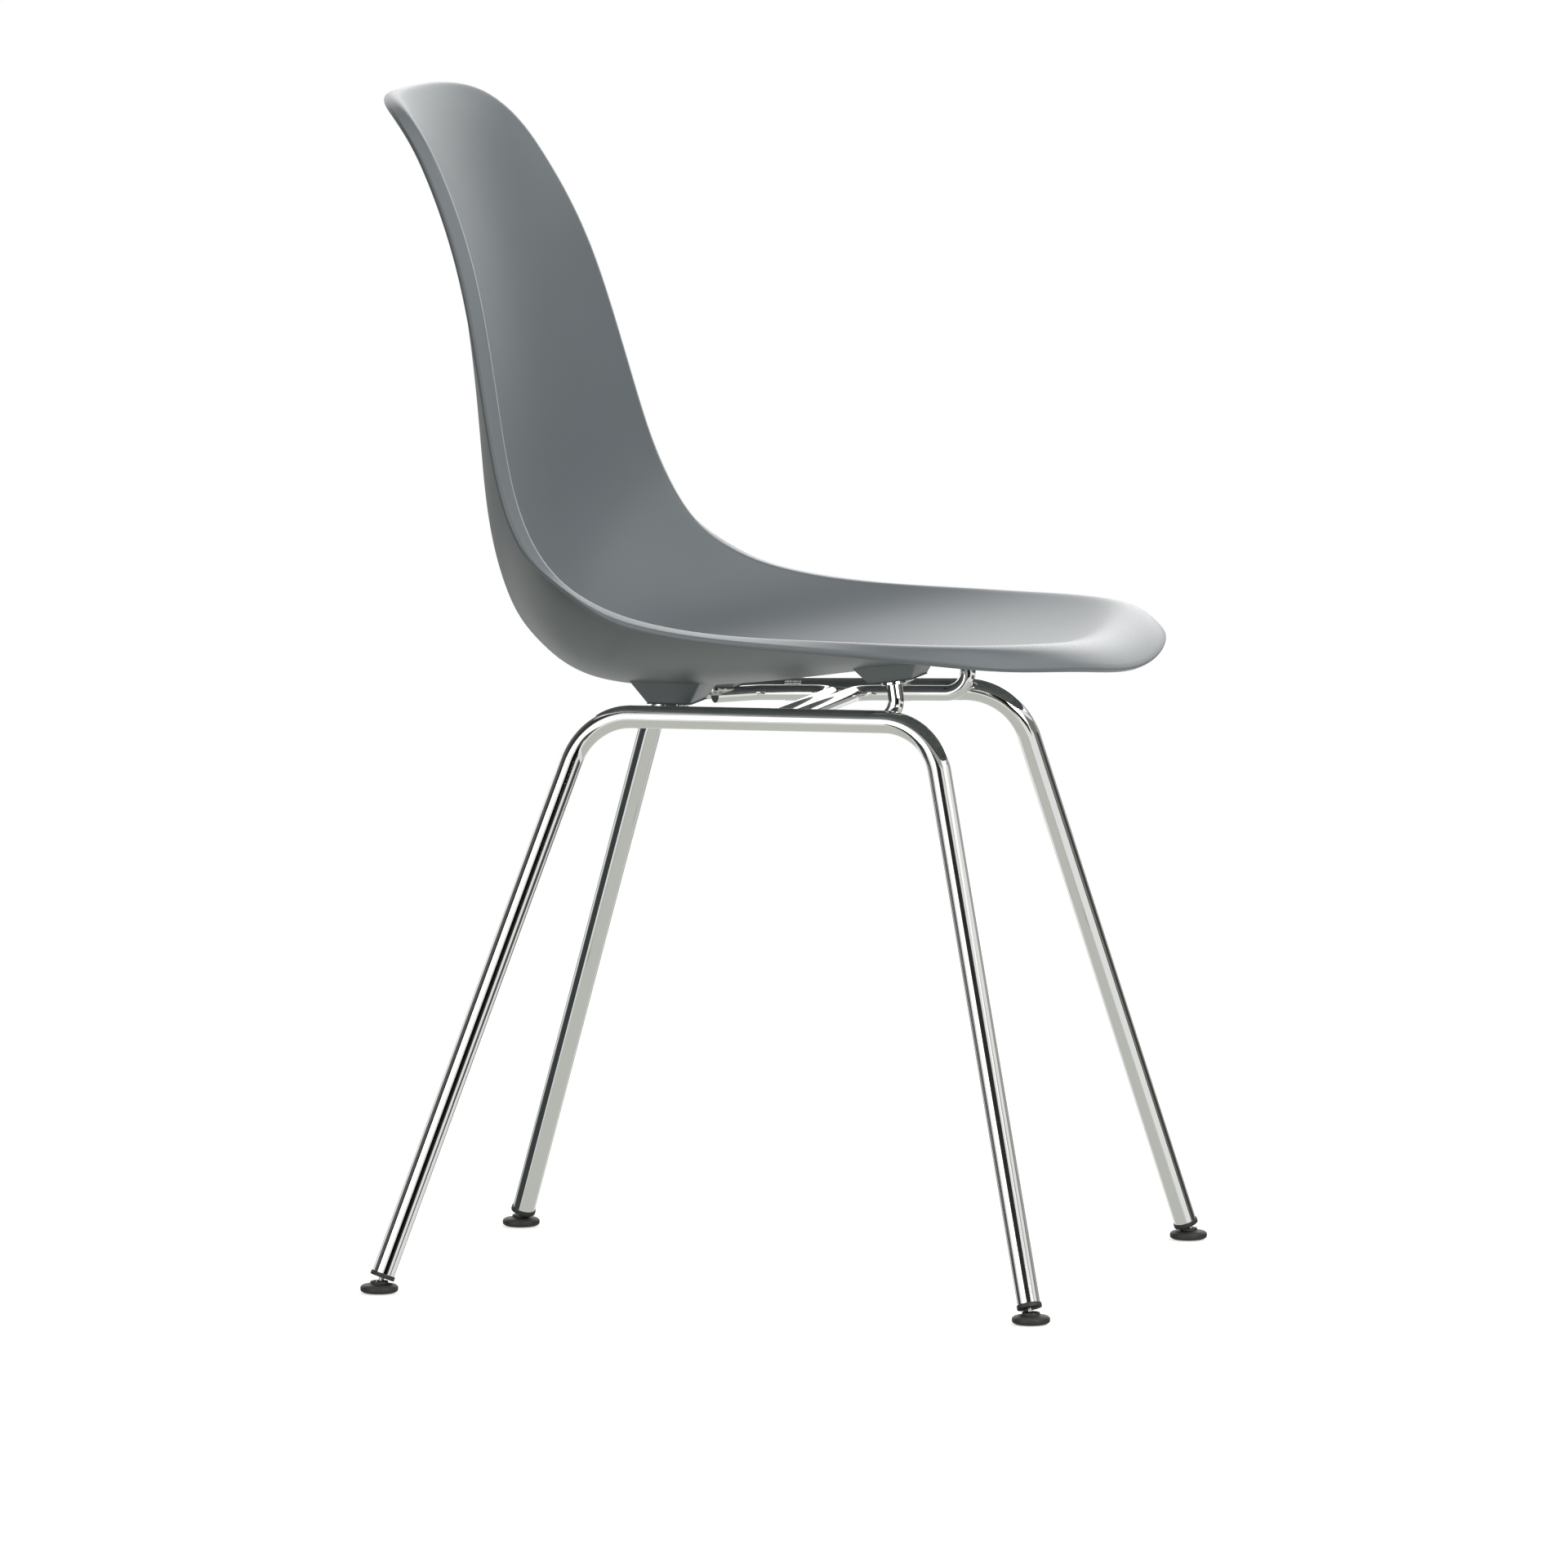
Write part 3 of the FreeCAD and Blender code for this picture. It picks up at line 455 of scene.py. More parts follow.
@dataclass
class SeatShell:
    """One-piece seat and back: stations along its middle carry its section and rolled rim.

    Each station holds, in percent of the shell's sizes, its y, lift, half-width and rise; then the
    steepness of the side, and the lip's radius, turn in degrees and flat, in lip radii.
    """

    sizes: ChairSizes
    finish: Finish = PLASTIC
    stations: tuple[tuple[float, ...], ...] = (
        (-46.6, 7.6, 86.4, 11.2, 0.25, 4.4, 82, 0.3),
        (-42.2, 5.7, 91.1, 9.7, 0.35, 3.45, 72, 0.7),
        (-31.5, 5.3, 94.6, 9.9, 0.45, 2.2, 47, 1.1),
        (-19.8, 4.1, 97.6, 13.9, 0.55, 1.3, 41, 1.5),
        (-8.0, 1.6, 100.2, 19.5, 0.55, 1, 36, 1.5),
        (5.4, -0.3, 98.7, 25.5, 0.5, 0.95, 42, 1.4),
        (19.3, -1.3, 96.2, 35.8, 0.5, 0.9, 55, 1.3),
        (30.5, 1.6, 96.4, 41.3, 0.4, 0.9, 61, 1.1),
        (37.2, 11.7, 96.9, 39.2, 0.3, 0.95, 60, 1.1),
        (40.1, 26.8, 96.0, 29.4, 0.3, 1, 54, 1.3),
        (40.7, 42.1, 88.9, 23.2, 0.25, 1, 53, 1.2),
        (42.1, 57.4, 80.5, 19.7, 0.25, 1, 56, 1.2),
        (44.0, 71.4, 73.6, 17.0, 0.25, 1, 58, 1.1),
        (47.2, 83.8, 64.6, 12.9, 0.3, 1, 59, 0.9),
        (50.0, 95.9, 57.1, 6.6, 0.25, 1.1, 57, 0.6),
        (54.7, 100.0, 53.4, 5.0, 0.25, 1.2, 56, 0.3),
    )
    shell_depth: float = 480.0
    back_height: float = 408.0
    half_width: float = 192.0
    lip_radius: float = 7.5
    front_corner_span: float = 1.8
    top_corner_span: float = 1.55
    front_corner_square: float = 2.25
    top_corner_square: float = 2.55
    corner_samples: int = 60
    side_samples: int = 200
    seat_samples: int = 260
    tangent_step: float = 0.001
    normal_step: float = 0.002
    across_step: float = 0.5
    first_seat_station: float = 1.5
    centre_station: float = 7.0
    rays_per_side: int = 28
    ray_steps: int = 5
    ring_steps: int = 4
    # Close together at first: wide rings would pinch the surface where the rays meet.
    ring_shares: tuple[float, ...] = (0, .01, .023, .042, .07, .11, .165, .235, .32, .41, .5, .62,
                                      .73, .83, .91, .97, 1)
    arc_steps: int = 4
    flat_steps: int = 2
    polished_rings: float = 2.2
    boss_length: float = 31.0
    boss_width: float = 44.0
    boss_draft: float = 32.0
    boss_corner: float = 1.6
    boss_foot: tuple[tuple[float, float], ...] = ((0.0, 1.0), (0.3, 0.3), (1.0, 0.0))
    boss_reach: float = 30.0
    boss_step: float = 0.25

    def column(self, number: int, along: np.ndarray) -> np.ndarray:
        """Uniform cubic B-spline through one column of the stations, ends reached.

        Args:
            number: the column.
            along: places along the stations.

        Returns:
            The blended values.
        """
        units = (self.shell_depth / 100, self.back_height / 100, self.half_width / 100,
                 self.half_width / 100, 1.0, self.lip_radius, 1.0, self.lip_radius)
        values = np.array([station[number] for station in self.stations]) * units[number]
        values = np.concatenate([[2 * values[0] - values[1]], values,
                                 [2 * values[-1] - values[-2]]])
        span = np.clip(np.floor(along).astype(int), 0, len(values) - 4)
        return sum(weight * values[span + place]
                   for place, weight in enumerate(self.blend(along - span)))

    @staticmethod
    def blend(share: Any) -> tuple[Any, ...]:
        """Weights of four neighbours in a uniform cubic B-spline."""
        return ((1 - share) ** 3 / 6, (3 * share ** 3 - 6 * share ** 2 + 4) / 6,
                (-3 * share ** 3 + 3 * share ** 2 + 3 * share + 1) / 6, share ** 3 / 6)

    def clamp(self, along: np.ndarray) -> np.ndarray:
        """Keep places along the stations inside them."""
        return np.clip(along, 0.0, len(self.stations) - 1.0)

    def surface(self, along: np.ndarray, across: np.ndarray) -> np.ndarray:
        """Points on the sitter's side of the shell, before its rim.

        Args:
            along: places along the stations.
            across: distances from the middle plane.

        Returns:
            Points in millimetres, last axis x, y, z.
        """
        ahead = self.clamp(along + self.tangent_step)
        behind = self.clamp(along - self.tangent_step)
        run_y = self.column(0, ahead) - self.column(0, behind)
        run_z = self.column(1, ahead) - self.column(1, behind)
        length = np.hypot(run_y, run_z)
        share = (across / self.column(2, along)) ** 2
        steep = self.column(4, along)
        rise = self.column(3, along) * ((1 - steep) * share + steep * share ** 2)
        y = self.column(0, along) - self.sizes.origin_y - run_z / length * rise
        z = self.column(1, along) + self.sizes.seat_z + run_y / length * rise
        return np.stack([across + 0 * y, y, z], -1)

    def normal(self, along: np.ndarray, across: np.ndarray) -> np.ndarray:
        """Unit normals of the seat surface, towards the sitter."""
        lengthways = (self.surface(self.clamp(along + self.normal_step), across)
                      - self.surface(self.clamp(along - self.normal_step), across))
        sideways = (self.surface(along, across + self.across_step)
                    - self.surface(along, across - self.across_step))
        made = np.cross(sideways, lengthways)
        return made / np.linalg.norm(made, axis=-1, keepdims=True)

    def rim(self) -> tuple[np.ndarray, np.ndarray]:
        """Places round the rim, evenly spaced, from the front's middle.

        Returns:
            Places along the stations and distances from the middle plane.
        """
        last = len(self.stations) - 1
        angle = np.linspace(0, pi / 2, self.corner_samples + 1)
        power, top_power = 2 / self.front_corner_square, 2 / self.top_corner_square
        near = self.front_corner_span * (1 - np.cos(angle) ** power)
        far = last - self.top_corner_span * (1 - np.cos(angle[::-1]) ** top_power)
        side = np.linspace(near[-1], far[0], self.side_samples + 1)[1:-1]
        along = np.concatenate([near, side, far])
        close = np.concatenate([np.sin(angle) ** power, np.ones(len(side)),
                                np.sin(angle[::-1]) ** top_power])
        across = close * self.column(2, along)
        steps = np.linalg.norm(np.diff(self.surface(along, across), axis=0), axis=1)
        lengths = np.concatenate([[0], np.cumsum(steps)])
        even = np.linspace(0, lengths[-1], self.rays_per_side + 1)
        along, across = np.interp(even, lengths, along), np.interp(even, lengths, across)
        return (np.concatenate([along, along[-2:0:-1]]),
                np.concatenate([across, -across[-2:0:-1]]))

    def control_rings(self) -> np.ndarray:
        """Control rings from the seat's middle, over the rim and back under the shell."""
        along, across = self.rim()
        rim = self.surface(along, across)
        facing = self.normal(along, across)
        outward = np.cross(np.roll(rim, -1, 0) - np.roll(rim, 1, 0), facing)
        outward /= np.linalg.norm(outward, axis=1, keepdims=True)
        wall = self.sizes.shell_wall
        upper, lower = [], []
        for share in self.ring_shares:
            places = self.centre_station + share * (along - self.centre_station)
            ring = self.surface(places, share * across)
            upper.append(ring)
            lower.append(ring - self.normal(places, share * across) * wall)
        radius = self.column(5, along)[:, None]
        turn = np.radians(self.column(6, along))[:, None]
        flat = self.column(7, along)[:, None]
        for step in range(1, self.arc_steps + self.flat_steps + 1):
            angle = turn * min(step / self.arc_steps, 1.0)
            ring = rim + outward * radius * np.sin(angle) - facing * radius * (1 - np.cos(angle))
            straight = flat * max(step - self.arc_steps, 0) / self.flat_steps
            ring = ring + (outward * np.cos(angle) - facing * np.sin(angle)) * straight
            upper.append(ring)
            lower.append(ring - (facing * np.cos(angle) + outward * np.sin(angle)) * wall)
        nose = []
        for face in (upper, lower):
            step_out = face[-1] - face[-2]
            step_out /= np.linalg.norm(step_out, axis=1, keepdims=True)
            nose.append(face[-1] + step_out * wall / 2)
        return np.array(upper + nose + lower[::-1])

    def clamped_weights(self, count: int) -> np.ndarray:
        """Cubic basis over the rings, with the first and last ring reached.

        Args:
            count: number of control rings.

        Returns:
            One row of weights for each sample.
        """
        knots = np.concatenate([[0] * 3, np.arange(count - 2), [count - 3] * 3]).astype(float)
        places = np.linspace(0, count - 3, (count - 3) * self.ring_steps + 1)
        places[-1] -= 1e-9  # keeps the last sample inside the last span
        basis = ((knots[:-1] <= places[:, None]) & (places[:, None] < knots[1:])).astype(float)
        for degree in (1, 2, 3):
            width = knots[degree:] - knots[:-degree]
            slope = (places[:, None] - knots[:-degree]) / np.where(width, width, 1)
            basis = slope[:, :-1] * basis[:, :-1] + (1 - slope[:, 1:]) * basis[:, 1:]
        return basis

    def fine_rings(self) -> np.ndarray:
        """The smooth surface over the control rings, as fine rings of points."""
        control = self.control_rings()
        rings = np.einsum("ij,jkl->ikl", self.clamped_weights(len(control)), control)
        made = [sum(weight * np.roll(rings, 1 - place, 1)
                    for place, weight in enumerate(self.blend(step / self.ray_steps)))
                for step in range(self.ray_steps)]
        return np.stack(made, 2).reshape(len(rings), -1, 3)

    def wall_height(self, x: float, y: float) -> float:
        """Height of the middle of the seat's wall over a point in plan.

        Args:
            x: distance from the middle plane.
            y: place along the chair.

        Returns:
            The height in millimetres.
        """
        along = np.linspace(self.first_seat_station, self.centre_station,
                            self.seat_samples)
        across = np.full_like(along, x)
        points = (self.surface(along, across)
                  - self.normal(along, across) * self.sizes.shell_wall / 2)
        return float(np.interp(y, points[:, 1], points[:, 2]))

    def boss(self, store: MeshStore, place: Matrix) -> None:
        """Drafted boss that stands on a mount plate and runs up into the wall.

        Args:
            store: where its faces go.
            place: the mount's placement.
        """
        slope = tan(radians(self.boss_draft))
        spots = []
        for side, edge, start in ((1, 1, 0), (-1, 1, 90), (-1, -1, 180), (1, -1, 270)):
            middle = Vector((side * (self.boss_width / 2 - self.boss_corner),
                             edge * (self.boss_length / 2 - self.boss_corner), 0))
            spots += [(middle, middle + polar(self.boss_corner, radians(start + turn), 0))
                      for turn in (0, 30, 60, 90)]

        def at(spot: tuple[Vector, Vector], level: float, shrink: float = 0.0) -> Vector:
            """Point of the drafted side over one spot of the outline."""
            (middle, point), spread = spot, slope * level - shrink
            return place @ (point + Vector((copysign(spread, middle.x),
                                            copysign(spread, middle.y), level)))

        rows = [store.row([at(spot, level, shrink) for spot in spots])
                for level, shrink in self.boss_foot]
        top = []
        for spot in spots:
            for level in np.arange(self.boss_foot[-1][0], self.boss_reach, self.boss_step):
                point = at(spot, level)
                if point.z >= self.wall_height(point.x, point.y):
                    break
            top.append(point)
        rows.append(store.row(top))
        store.skin(rows)
        for row in (rows[0], rows[-1]):
            centre = sum((store.points[number] for number in row), Vector()) / len(row)
            if row is rows[-1]:
                centre.z = self.wall_height(centre.x, centre.y)
            store.skin([row, store.row([centre])])

    def build(self) -> None:
        """Build the shell and its bosses as one piece."""
        rings = self.fine_rings()
        store = MeshStore()
        rows = [store.row([Vector(point) for point in ring])
                for ring in (rings[0, :1], *rings[1:-1], rings[-1, :1])]
        store.skin(rows)
        for corner in CORNERS:
            self.boss(store, self.sizes.mount_place(corner))
        piece = store.piece("seat_shell", BODY, self.finish, ["shell"])
        handled = np.zeros(len(store.points))
        for index, row in enumerate(rows[1:-1], 1):
            off = index / self.ring_steps - len(self.ring_shares)
            handled[row] = exp(-(off / self.polished_rings) ** 2)
        attribute = piece.data.attributes.new("handled", "FLOAT", "POINT")
        attribute.data.foreach_set("value", handled)


# Chromed base

@dataclass
class GrownPart:
    """Part of the base whose meshes Geometry Nodes make from lines."""

    sizes: ChairSizes
    finish: Finish = CHROME

    def nodes(self, tree: NodeTree, line: Node) -> Node:
        """Nodes that make the part; each kind of part has its own.

        Args:
            tree: the piece's tree.
            line: the node that gives the lines as curves.

        Returns:
            The node that gives the part.
        """
        raise NotImplementedError

    def grow(
        self, name: str, points: Sequence[Vector], stride: int, stands_for: Sequence[str],
        wall: float = 0.0,
    ) -> None:
        """Grow a piece from its lines, as a plain mesh, and settle it.

        Args:
            name: the piece's name.
            points: ends of the lines, in millimetres.
            stride: points from one line to the next; with one they join up.
            stands_for: the CAD nodes it replaces.
            wall: thickness given inwards to an open skin, or none.
        """
        tree = bpy.data.node_groups.new(name, "GeometryNodeTree")
        for side in ("INPUT", "OUTPUT"):
            tree.interface.new_socket(name="Geometry", in_out=side,
                                      socket_type="NodeSocketGeometry")
        given = add_node(tree, "NodeGroupInput")
        line = add_node(tree, "GeometryNodeMeshToCurve", {"Mesh": given})
        real = add_node(tree, "GeometryNodeRealizeInstances", {"Geometry": self.nodes(tree, line)})
        smooth = add_node(tree, "GeometryNodeSetShadeSmooth", {"Geometry": real})
        dressed = add_node(tree, "GeometryNodeSetMaterial", {
            "Geometry": smooth, "Material": self.finish.material()})
        add_node(tree, "NodeGroupOutput", {0: dressed})
        edges = [(index, index + 1) for index in range(0, len(points) - 1, stride)]
        start = bpy.data.meshes.new(name + "_lines")
        start.from_pydata([tuple(point * MM) for point in points], edges, [])
        carrier = link(name + "_lines", start)
        carrier.modifiers.new("form", "NODES").node_group = tree
        if wall:
            skin = carrier.modifiers.new("wall", "SOLIDIFY")
            skin.thickness, skin.offset = wall * MM, -1.0
        graph = bpy.context.evaluated_depsgraph_get()
        mesh = bpy.data.meshes.new_from_object(carrier.evaluated_get(graph))
        mesh.name = name
        bpy.data.objects.remove(carrier)
        settle(name, mesh, BODY, stands_for)


@dataclass
class BentBar(GrownPart):
    """Round bar bent to one radius at each corner; with a wall it is an open tube."""

    diameter: float = 0.0
    bend: float = 0.0
    wall: float = 0.0
    sides: int = 40
    bend_steps: int = 16

    def nodes(self, tree: NodeTree, line: Node) -> Node:
        """Bar along the curve, with its corners rounded."""
        path = add_node(tree, "GeometryNodeFilletCurve", {
            "Curve": line, "Radius": self.bend * MM, "Count": self.bend_steps}, mode="POLY")
        ring = add_node(tree, "GeometryNodeCurvePrimitiveCircle", {
            "Radius": self.diameter / 2 * MM, "Resolution": self.sides})
        return add_node(tree, "GeometryNodeCurveToMesh", {
            "Curve": path, "Profile Curve": ring, "Fill Caps": not self.wall})

    def along(self, node: str, suffix: str, points: Sequence[Vector]) -> None:
        """Grow the bar along its corners, named after the CAD node that it replaces."""
        self.grow(node + suffix, points, 1, [node], self.wall)


@dataclass
class LegBow(BentBar):
    """One bent tube: front leg, top run and rear leg."""

    sides: int = 56
    bend_steps: int = 28

    def build(self, hand: Hand) -> None:
        """Build the tube along its four corners."""
        sizes = self.sizes
        self.diameter, self.bend, self.wall = (sizes.tube_diameter, sizes.bow_bend,
                                               sizes.tube_wall)
        lift = sizes.collar_gap + sizes.collar_height
        front, rear = Corner(End.FRONT, hand), Corner(End.REAR, hand)
        points = [sizes.foot(front) + sizes.leg_up(front) * lift, sizes.knee(front),
                  sizes.knee(rear), sizes.foot(rear) + sizes.leg_up(rear) * lift]
        self.along(f"{hand.name.lower()}_leg_bow", "_tube", points)


@dataclass
class BraceRod(BentBar):
    """Bent solid rod that lies along both bows and crosses between them."""

    front_cross_y: float = -33.0
    rear_cross_y: float = -18.5
    overrun: float = 7.0

    def arm(self, corner: Corner) -> list[Vector]:
        """End, elbow and turn of one arm, from its end to where the rod crosses over.

        Args:
            corner: the arm's corner of the chair.

        Returns:
            The three points.
        """
        sizes, hand = self.sizes, corner.hand
        place = sizes.mount_place(corner)
        top = place @ Vector((sizes.plate_half_pitch, 0, -sizes.plate_thickness))
        if corner.end is End.FRONT:
            up = place.to_3x3() @ Vector((0, 0, 1))
            length = (top.z - sizes.rod_at(top.y, hand).z) / up.z
            turn = sizes.rod_at(self.front_cross_y - sizes.origin_y, hand)
            return [top, top - up * length, turn]
        elbow = sizes.rod_at(sizes.rear_rod_turn_y - sizes.origin_y, hand)
        reach = Vector((top.x - elbow.x, top.y - elbow.y, 0))
        end = elbow + reach * (1 + self.overrun / reach.length)
        return [end, elbow, sizes.rod_at(self.rear_cross_y - sizes.origin_y, hand)]

    def build(self, end: End) -> None:
        """Build the rod along its six corners."""
        self.diameter, self.bend = self.sizes.rod_diameter, self.sizes.rod_bend
        points = self.arm(Corner(end, Hand.LEFT)) + self.arm(Corner(end, Hand.RIGHT))[::-1]
        self.along(f"{end.value}_brace_rod", "_bar", points)


@dataclass
class WeldSet(GrownPart):
    """Weld metal in the grooves above and below each rod where it lies against a bow."""

    bead_diameter: float = 4.0
    bead_length: float = 12.0
    front_y: float = -64.0
    rear_y: float = 14.0
    pitch: float = 1.1
    thickness_share: float = 0.8
    narrowest: float = 0.88
    ripple_faces: tuple[int, int] = (10, 6)
    seed: int = 4

    def nodes(self, tree: NodeTree, line: Node) -> Node:
        """Overlapping ripples along each line, a little uneven in width."""
        spots = add_node(tree, "GeometryNodeCurveToPoints", {
            "Curve": line, "Length": self.pitch * MM}, mode="LENGTH")
        ripple = add_node(tree, "GeometryNodeMeshUVSphere", {
            "Segments": self.ripple_faces[0], "Rings": self.ripple_faces[1]})
        scatter = add_node(tree, "FunctionNodeRandomValue", {
            2: self.narrowest, 3: 1.0, "Seed": self.seed}, data_type="FLOAT")
        wide = add_node(tree, "ShaderNodeMath", {
            0: self.bead_diameter / 2 * MM, 1: scatter.outputs[1]}, operation="MULTIPLY")
        scale = add_node(tree, "ShaderNodeCombineXYZ", {
            0: wide, 1: wide, 2: self.pitch * self.thickness_share * MM})
        return add_node(tree, "GeometryNodeInstanceOnPoints", {
            "Points": spots, "Instance": ripple, "Scale": scale,
            "Rotation": spots.outputs["Rotation"]})

    def lines(self, corner: Corner) -> list[Vector]:
        """Ends of the upper and the lower bead at one corner.

        Args:
            corner: the weld's corner of the chair.

        Returns:
            Start and end of one bead, then of the other.
        """
        sizes, hand = self.sizes, corner.hand
        y = (self.front_y if corner.end is End.FRONT else self.rear_y) - sizes.origin_y
        tube, rod = sizes.bow_at(y, hand), sizes.rod_at(y, hand)
        front, rear = (sizes.knee(Corner(end, hand)) for end in End)
        direction = (rear - front).normalized()
        gap = (rod - tube).length
        across = (rod - tube).normalized()
        upward = direction.cross(across)
        bead = self.bead_diameter / 2
        to_tube, to_rod = sizes.tube_diameter / 2 + bead, sizes.rod_diameter / 2 + bead
        inward = (to_tube ** 2 - to_rod ** 2 + gap ** 2) / (2 * gap)
        rise = copysign(sqrt(to_tube ** 2 - inward ** 2), upward.z)
        half = direction * (self.bead_length / 2 - self.pitch / 2)
        return [tube + across * inward + upward * level + half * side
                for level in (rise, -rise) for side in (-1, 1)]

    def build(self) -> None:
        """Build all eight beads as one rippled mesh."""
        points = [point for corner in CORNERS for point in self.lines(corner)]
        self.grow("weld_beads", points, 2, [f"{corner.name}_weld" for corner in CORNERS])


@dataclass
class MountHardware:
    """Plates, screws, inserts and shock mounts between the base and the shell."""

    sizes: ChairSizes
    screw_diameter: float = 6.0
    hole_clearance: float = 0.3
    head_diameter: float = 10.5
    head_height: float = 3.4
    engagement: float = 8.0
    key_size: float = 4.0
    key_depth: float = 2.0
    key_ease: tuple[float, float] = (0.35, 0.3)
    head_ease: float = 0.7
    head_cut: float = 0.2
    seat_ease: float = 0.25
    thread_ease: float = 0.8
    edge: float = 0.5
    end_steps: int = 20
    screw_sides: int = 48

    def plate(self, store: MeshStore, place: Matrix) -> None:
        """Pressed obround plate with eased edges and a hole for the screw.

        Args:
            store: where its faces go.
            place: the mount's placement.
        """
        pitch = Vector((self.sizes.plate_half_pitch, 0, 0))
        radius, thickness = self.sizes.plate_width / 2, self.sizes.plate_thickness
        hole = self.screw_diameter / 2 + self.hole_clearance
        turns = [(side, radians(start + 180 * step / self.end_steps))
                 for side, start in ((1, -90), (-1, 90)) for step in range(self.end_steps + 1)]
        levels = ((-thickness, self.edge), (-thickness + self.edge, 0.0), (-self.edge, 0.0),
                  (0.0, self.edge))
        rows = [[pitch * side + polar(radius - ease, angle, level) for side, angle in turns]
                for level, ease in levels]
        aims = [atan2(point.y, point.x + pitch.x) for point in rows[0]]
        rows += [[polar(hole + ease, aim, level) - pitch for aim in aims]
                 for level, ease in levels[::-1]]
        numbers = [store.row([place @ point for point in row]) for row in rows]
        store.skin(numbers + numbers[:1])

    def screw(self, store: MeshStore, place: Matrix) -> None:
        """Cap screw from below, with an eased head, a hexagon socket and a thread's cut end.

        Args:
            store: where its faces go.
            place: the screw's placement, on the plate's upper face.
        """
        head, shank = self.head_diameter / 2, self.screw_diameter / 2
        seat = -self.sizes.plate_thickness
        low = seat - self.head_height
        bottom = low + self.key_depth
        angles = round_angles(self.screw_sides)
        reaches = [self.key_size / 2 / cos(angle % (pi / 3) - pi / 6) for angle in angles]
        rows = [store.row([place @ Vector((0, 0, bottom))])]
        for spread, extra, level in ((0.5, 0.0, bottom), (1.0, 0.0, bottom),
                                     (1.0, 0.0, low + self.key_ease[1]),
                                     (1.0, self.key_ease[0], low)):
            rows.append(store.row([place @ polar(reach * spread + extra, angle, level)
                                   for reach, angle in zip(reaches, angles)]))
        end = self.engagement
        rows += store.lathe([
            (head - self.head_ease, low), (head - self.head_cut, low + self.head_cut),
            (head, low + self.head_ease), (head, seat - self.seat_ease),
            (head - self.seat_ease, seat), (shank, seat), (shank, end - self.thread_ease),
            (shank - self.thread_ease, end), (0.0, end)], place, self.screw_sides)
        store.skin(rows)

    def build(self) -> None:
        """Build plates and screws, and dress what stays inside the bosses."""
        plates, screws = MeshStore(), MeshStore()
        shift = Matrix.Translation((-self.sizes.plate_half_pitch, 0, 0))
        for corner in CORNERS:
            place = self.sizes.mount_place(corner)
            self.plate(plates, place)
            self.screw(screws, place @ shift)
            dress_node(f"{corner.name}_threaded_insert", BRASS)
            dress_node(f"{corner.name}_shock_mount", RUBBER)
        for store, kind, finish in ((plates, "mount_plate", CHROME), (screws, "mount_screw", ZINC)):
            store.piece(f"{kind}s", BODY, finish, [f"{corner.name}_{kind}" for corner in CORNERS])


@dataclass
class SwivelGlide:
    """Glide of one leg: a plug with a collar, a ball stud and a foot that tilts on it."""

    sizes: ChairSizes
    corner: Corner
    finish: Finish = NYLON
    sides: int = 64
    ball_diameter: float = 7.2
    stem_diameter: float = 3.6
    clearance: float = 0.05
    collar_diameter: float = 17.6
    plug_length: float = 20.0
    plug_ease: float = 0.6
    sole_diameter: float = 21.6
    rim_diameter: float = 26.6
    rim_low: float = 1.6
    rim_high: float = 4.6
    top_diameter: float = 23.0
    top_height: float = 6.0
    neck_diameter: float = 12.6
    neck_base: float = 6.7
    neck_height: float = 8.5
    lip_rise: float = 2.0
    mouth_diameter: float = 8.8
    foot_ease: float = 1.1
    ease_steps: int = 5
    socket_steps: int = 12

    def plug(self) -> None:
        """Collar on the tube's end and the shank inside it."""
        sizes = self.sizes
        bore = self.stem_diameter / 2 + self.clearance
        shank = sizes.tube_diameter / 2 - sizes.tube_wall - self.clearance
        low = sizes.collar_gap
        seat = low + sizes.collar_height
        collar = self.collar_diameter / 2
        corners = [(bore, low), (collar, low), (collar, seat), (shank, seat),
                   (shank, seat + self.plug_length), (bore, seat + self.plug_length), (bore, low)]
        profile = round_profile(corners, self.plug_ease)[:-1]
        store = MeshStore()
        rows = store.lathe(profile, sizes.glide_place(self.corner), self.sides)
        store.skin(rows + rows[:1])
        name = self.corner.name
        store.piece(f"{name}_collar_plug", BODY, self.finish, [f"{name}_glide_plug"])

    def foot(self) -> None:
        """Disc and neck, with the socket that holds the ball."""
        ball = self.ball_diameter / 2 + self.clearance
        sweep = pi / 2 + asin(self.lip_rise / ball)
        angles = [sweep * step / self.socket_steps for step in range(self.socket_steps + 1)]
        socket = [(ball * sin(angle), self.sizes.ball_height - ball * cos(angle))
                  for angle in angles]
        neck = self.neck_diameter / 2
        outside = round_profile(
            [socket[-1], (self.mouth_diameter / 2, self.neck_height), (neck, self.neck_height),
             (neck, self.neck_base), (self.top_diameter / 2, self.top_height),
             (self.rim_diameter / 2, self.rim_high), (self.rim_diameter / 2, self.rim_low),
             (self.sole_diameter / 2, 0.0), (0.0, 0.0)], self.foot_ease,
            self.ease_steps)
        spot = self.sizes.foot(self.corner)
        store = MeshStore()
        store.skin(store.lathe(socket[:-1] + outside, Matrix.Translation((spot.x, spot.y, 0)),
                               self.sides))
        name = self.corner.name
        store.piece(f"{name}_foot_disc", f"{name}_glide", self.finish, [f"{name}_glide_foot"])

    def build(self) -> None:
        """Build the plug and the foot, and dress the stud."""
        self.plug()
        self.foot()
        dress_node(f"{self.corner.name}_ball_stud", ZINC)


# Studio

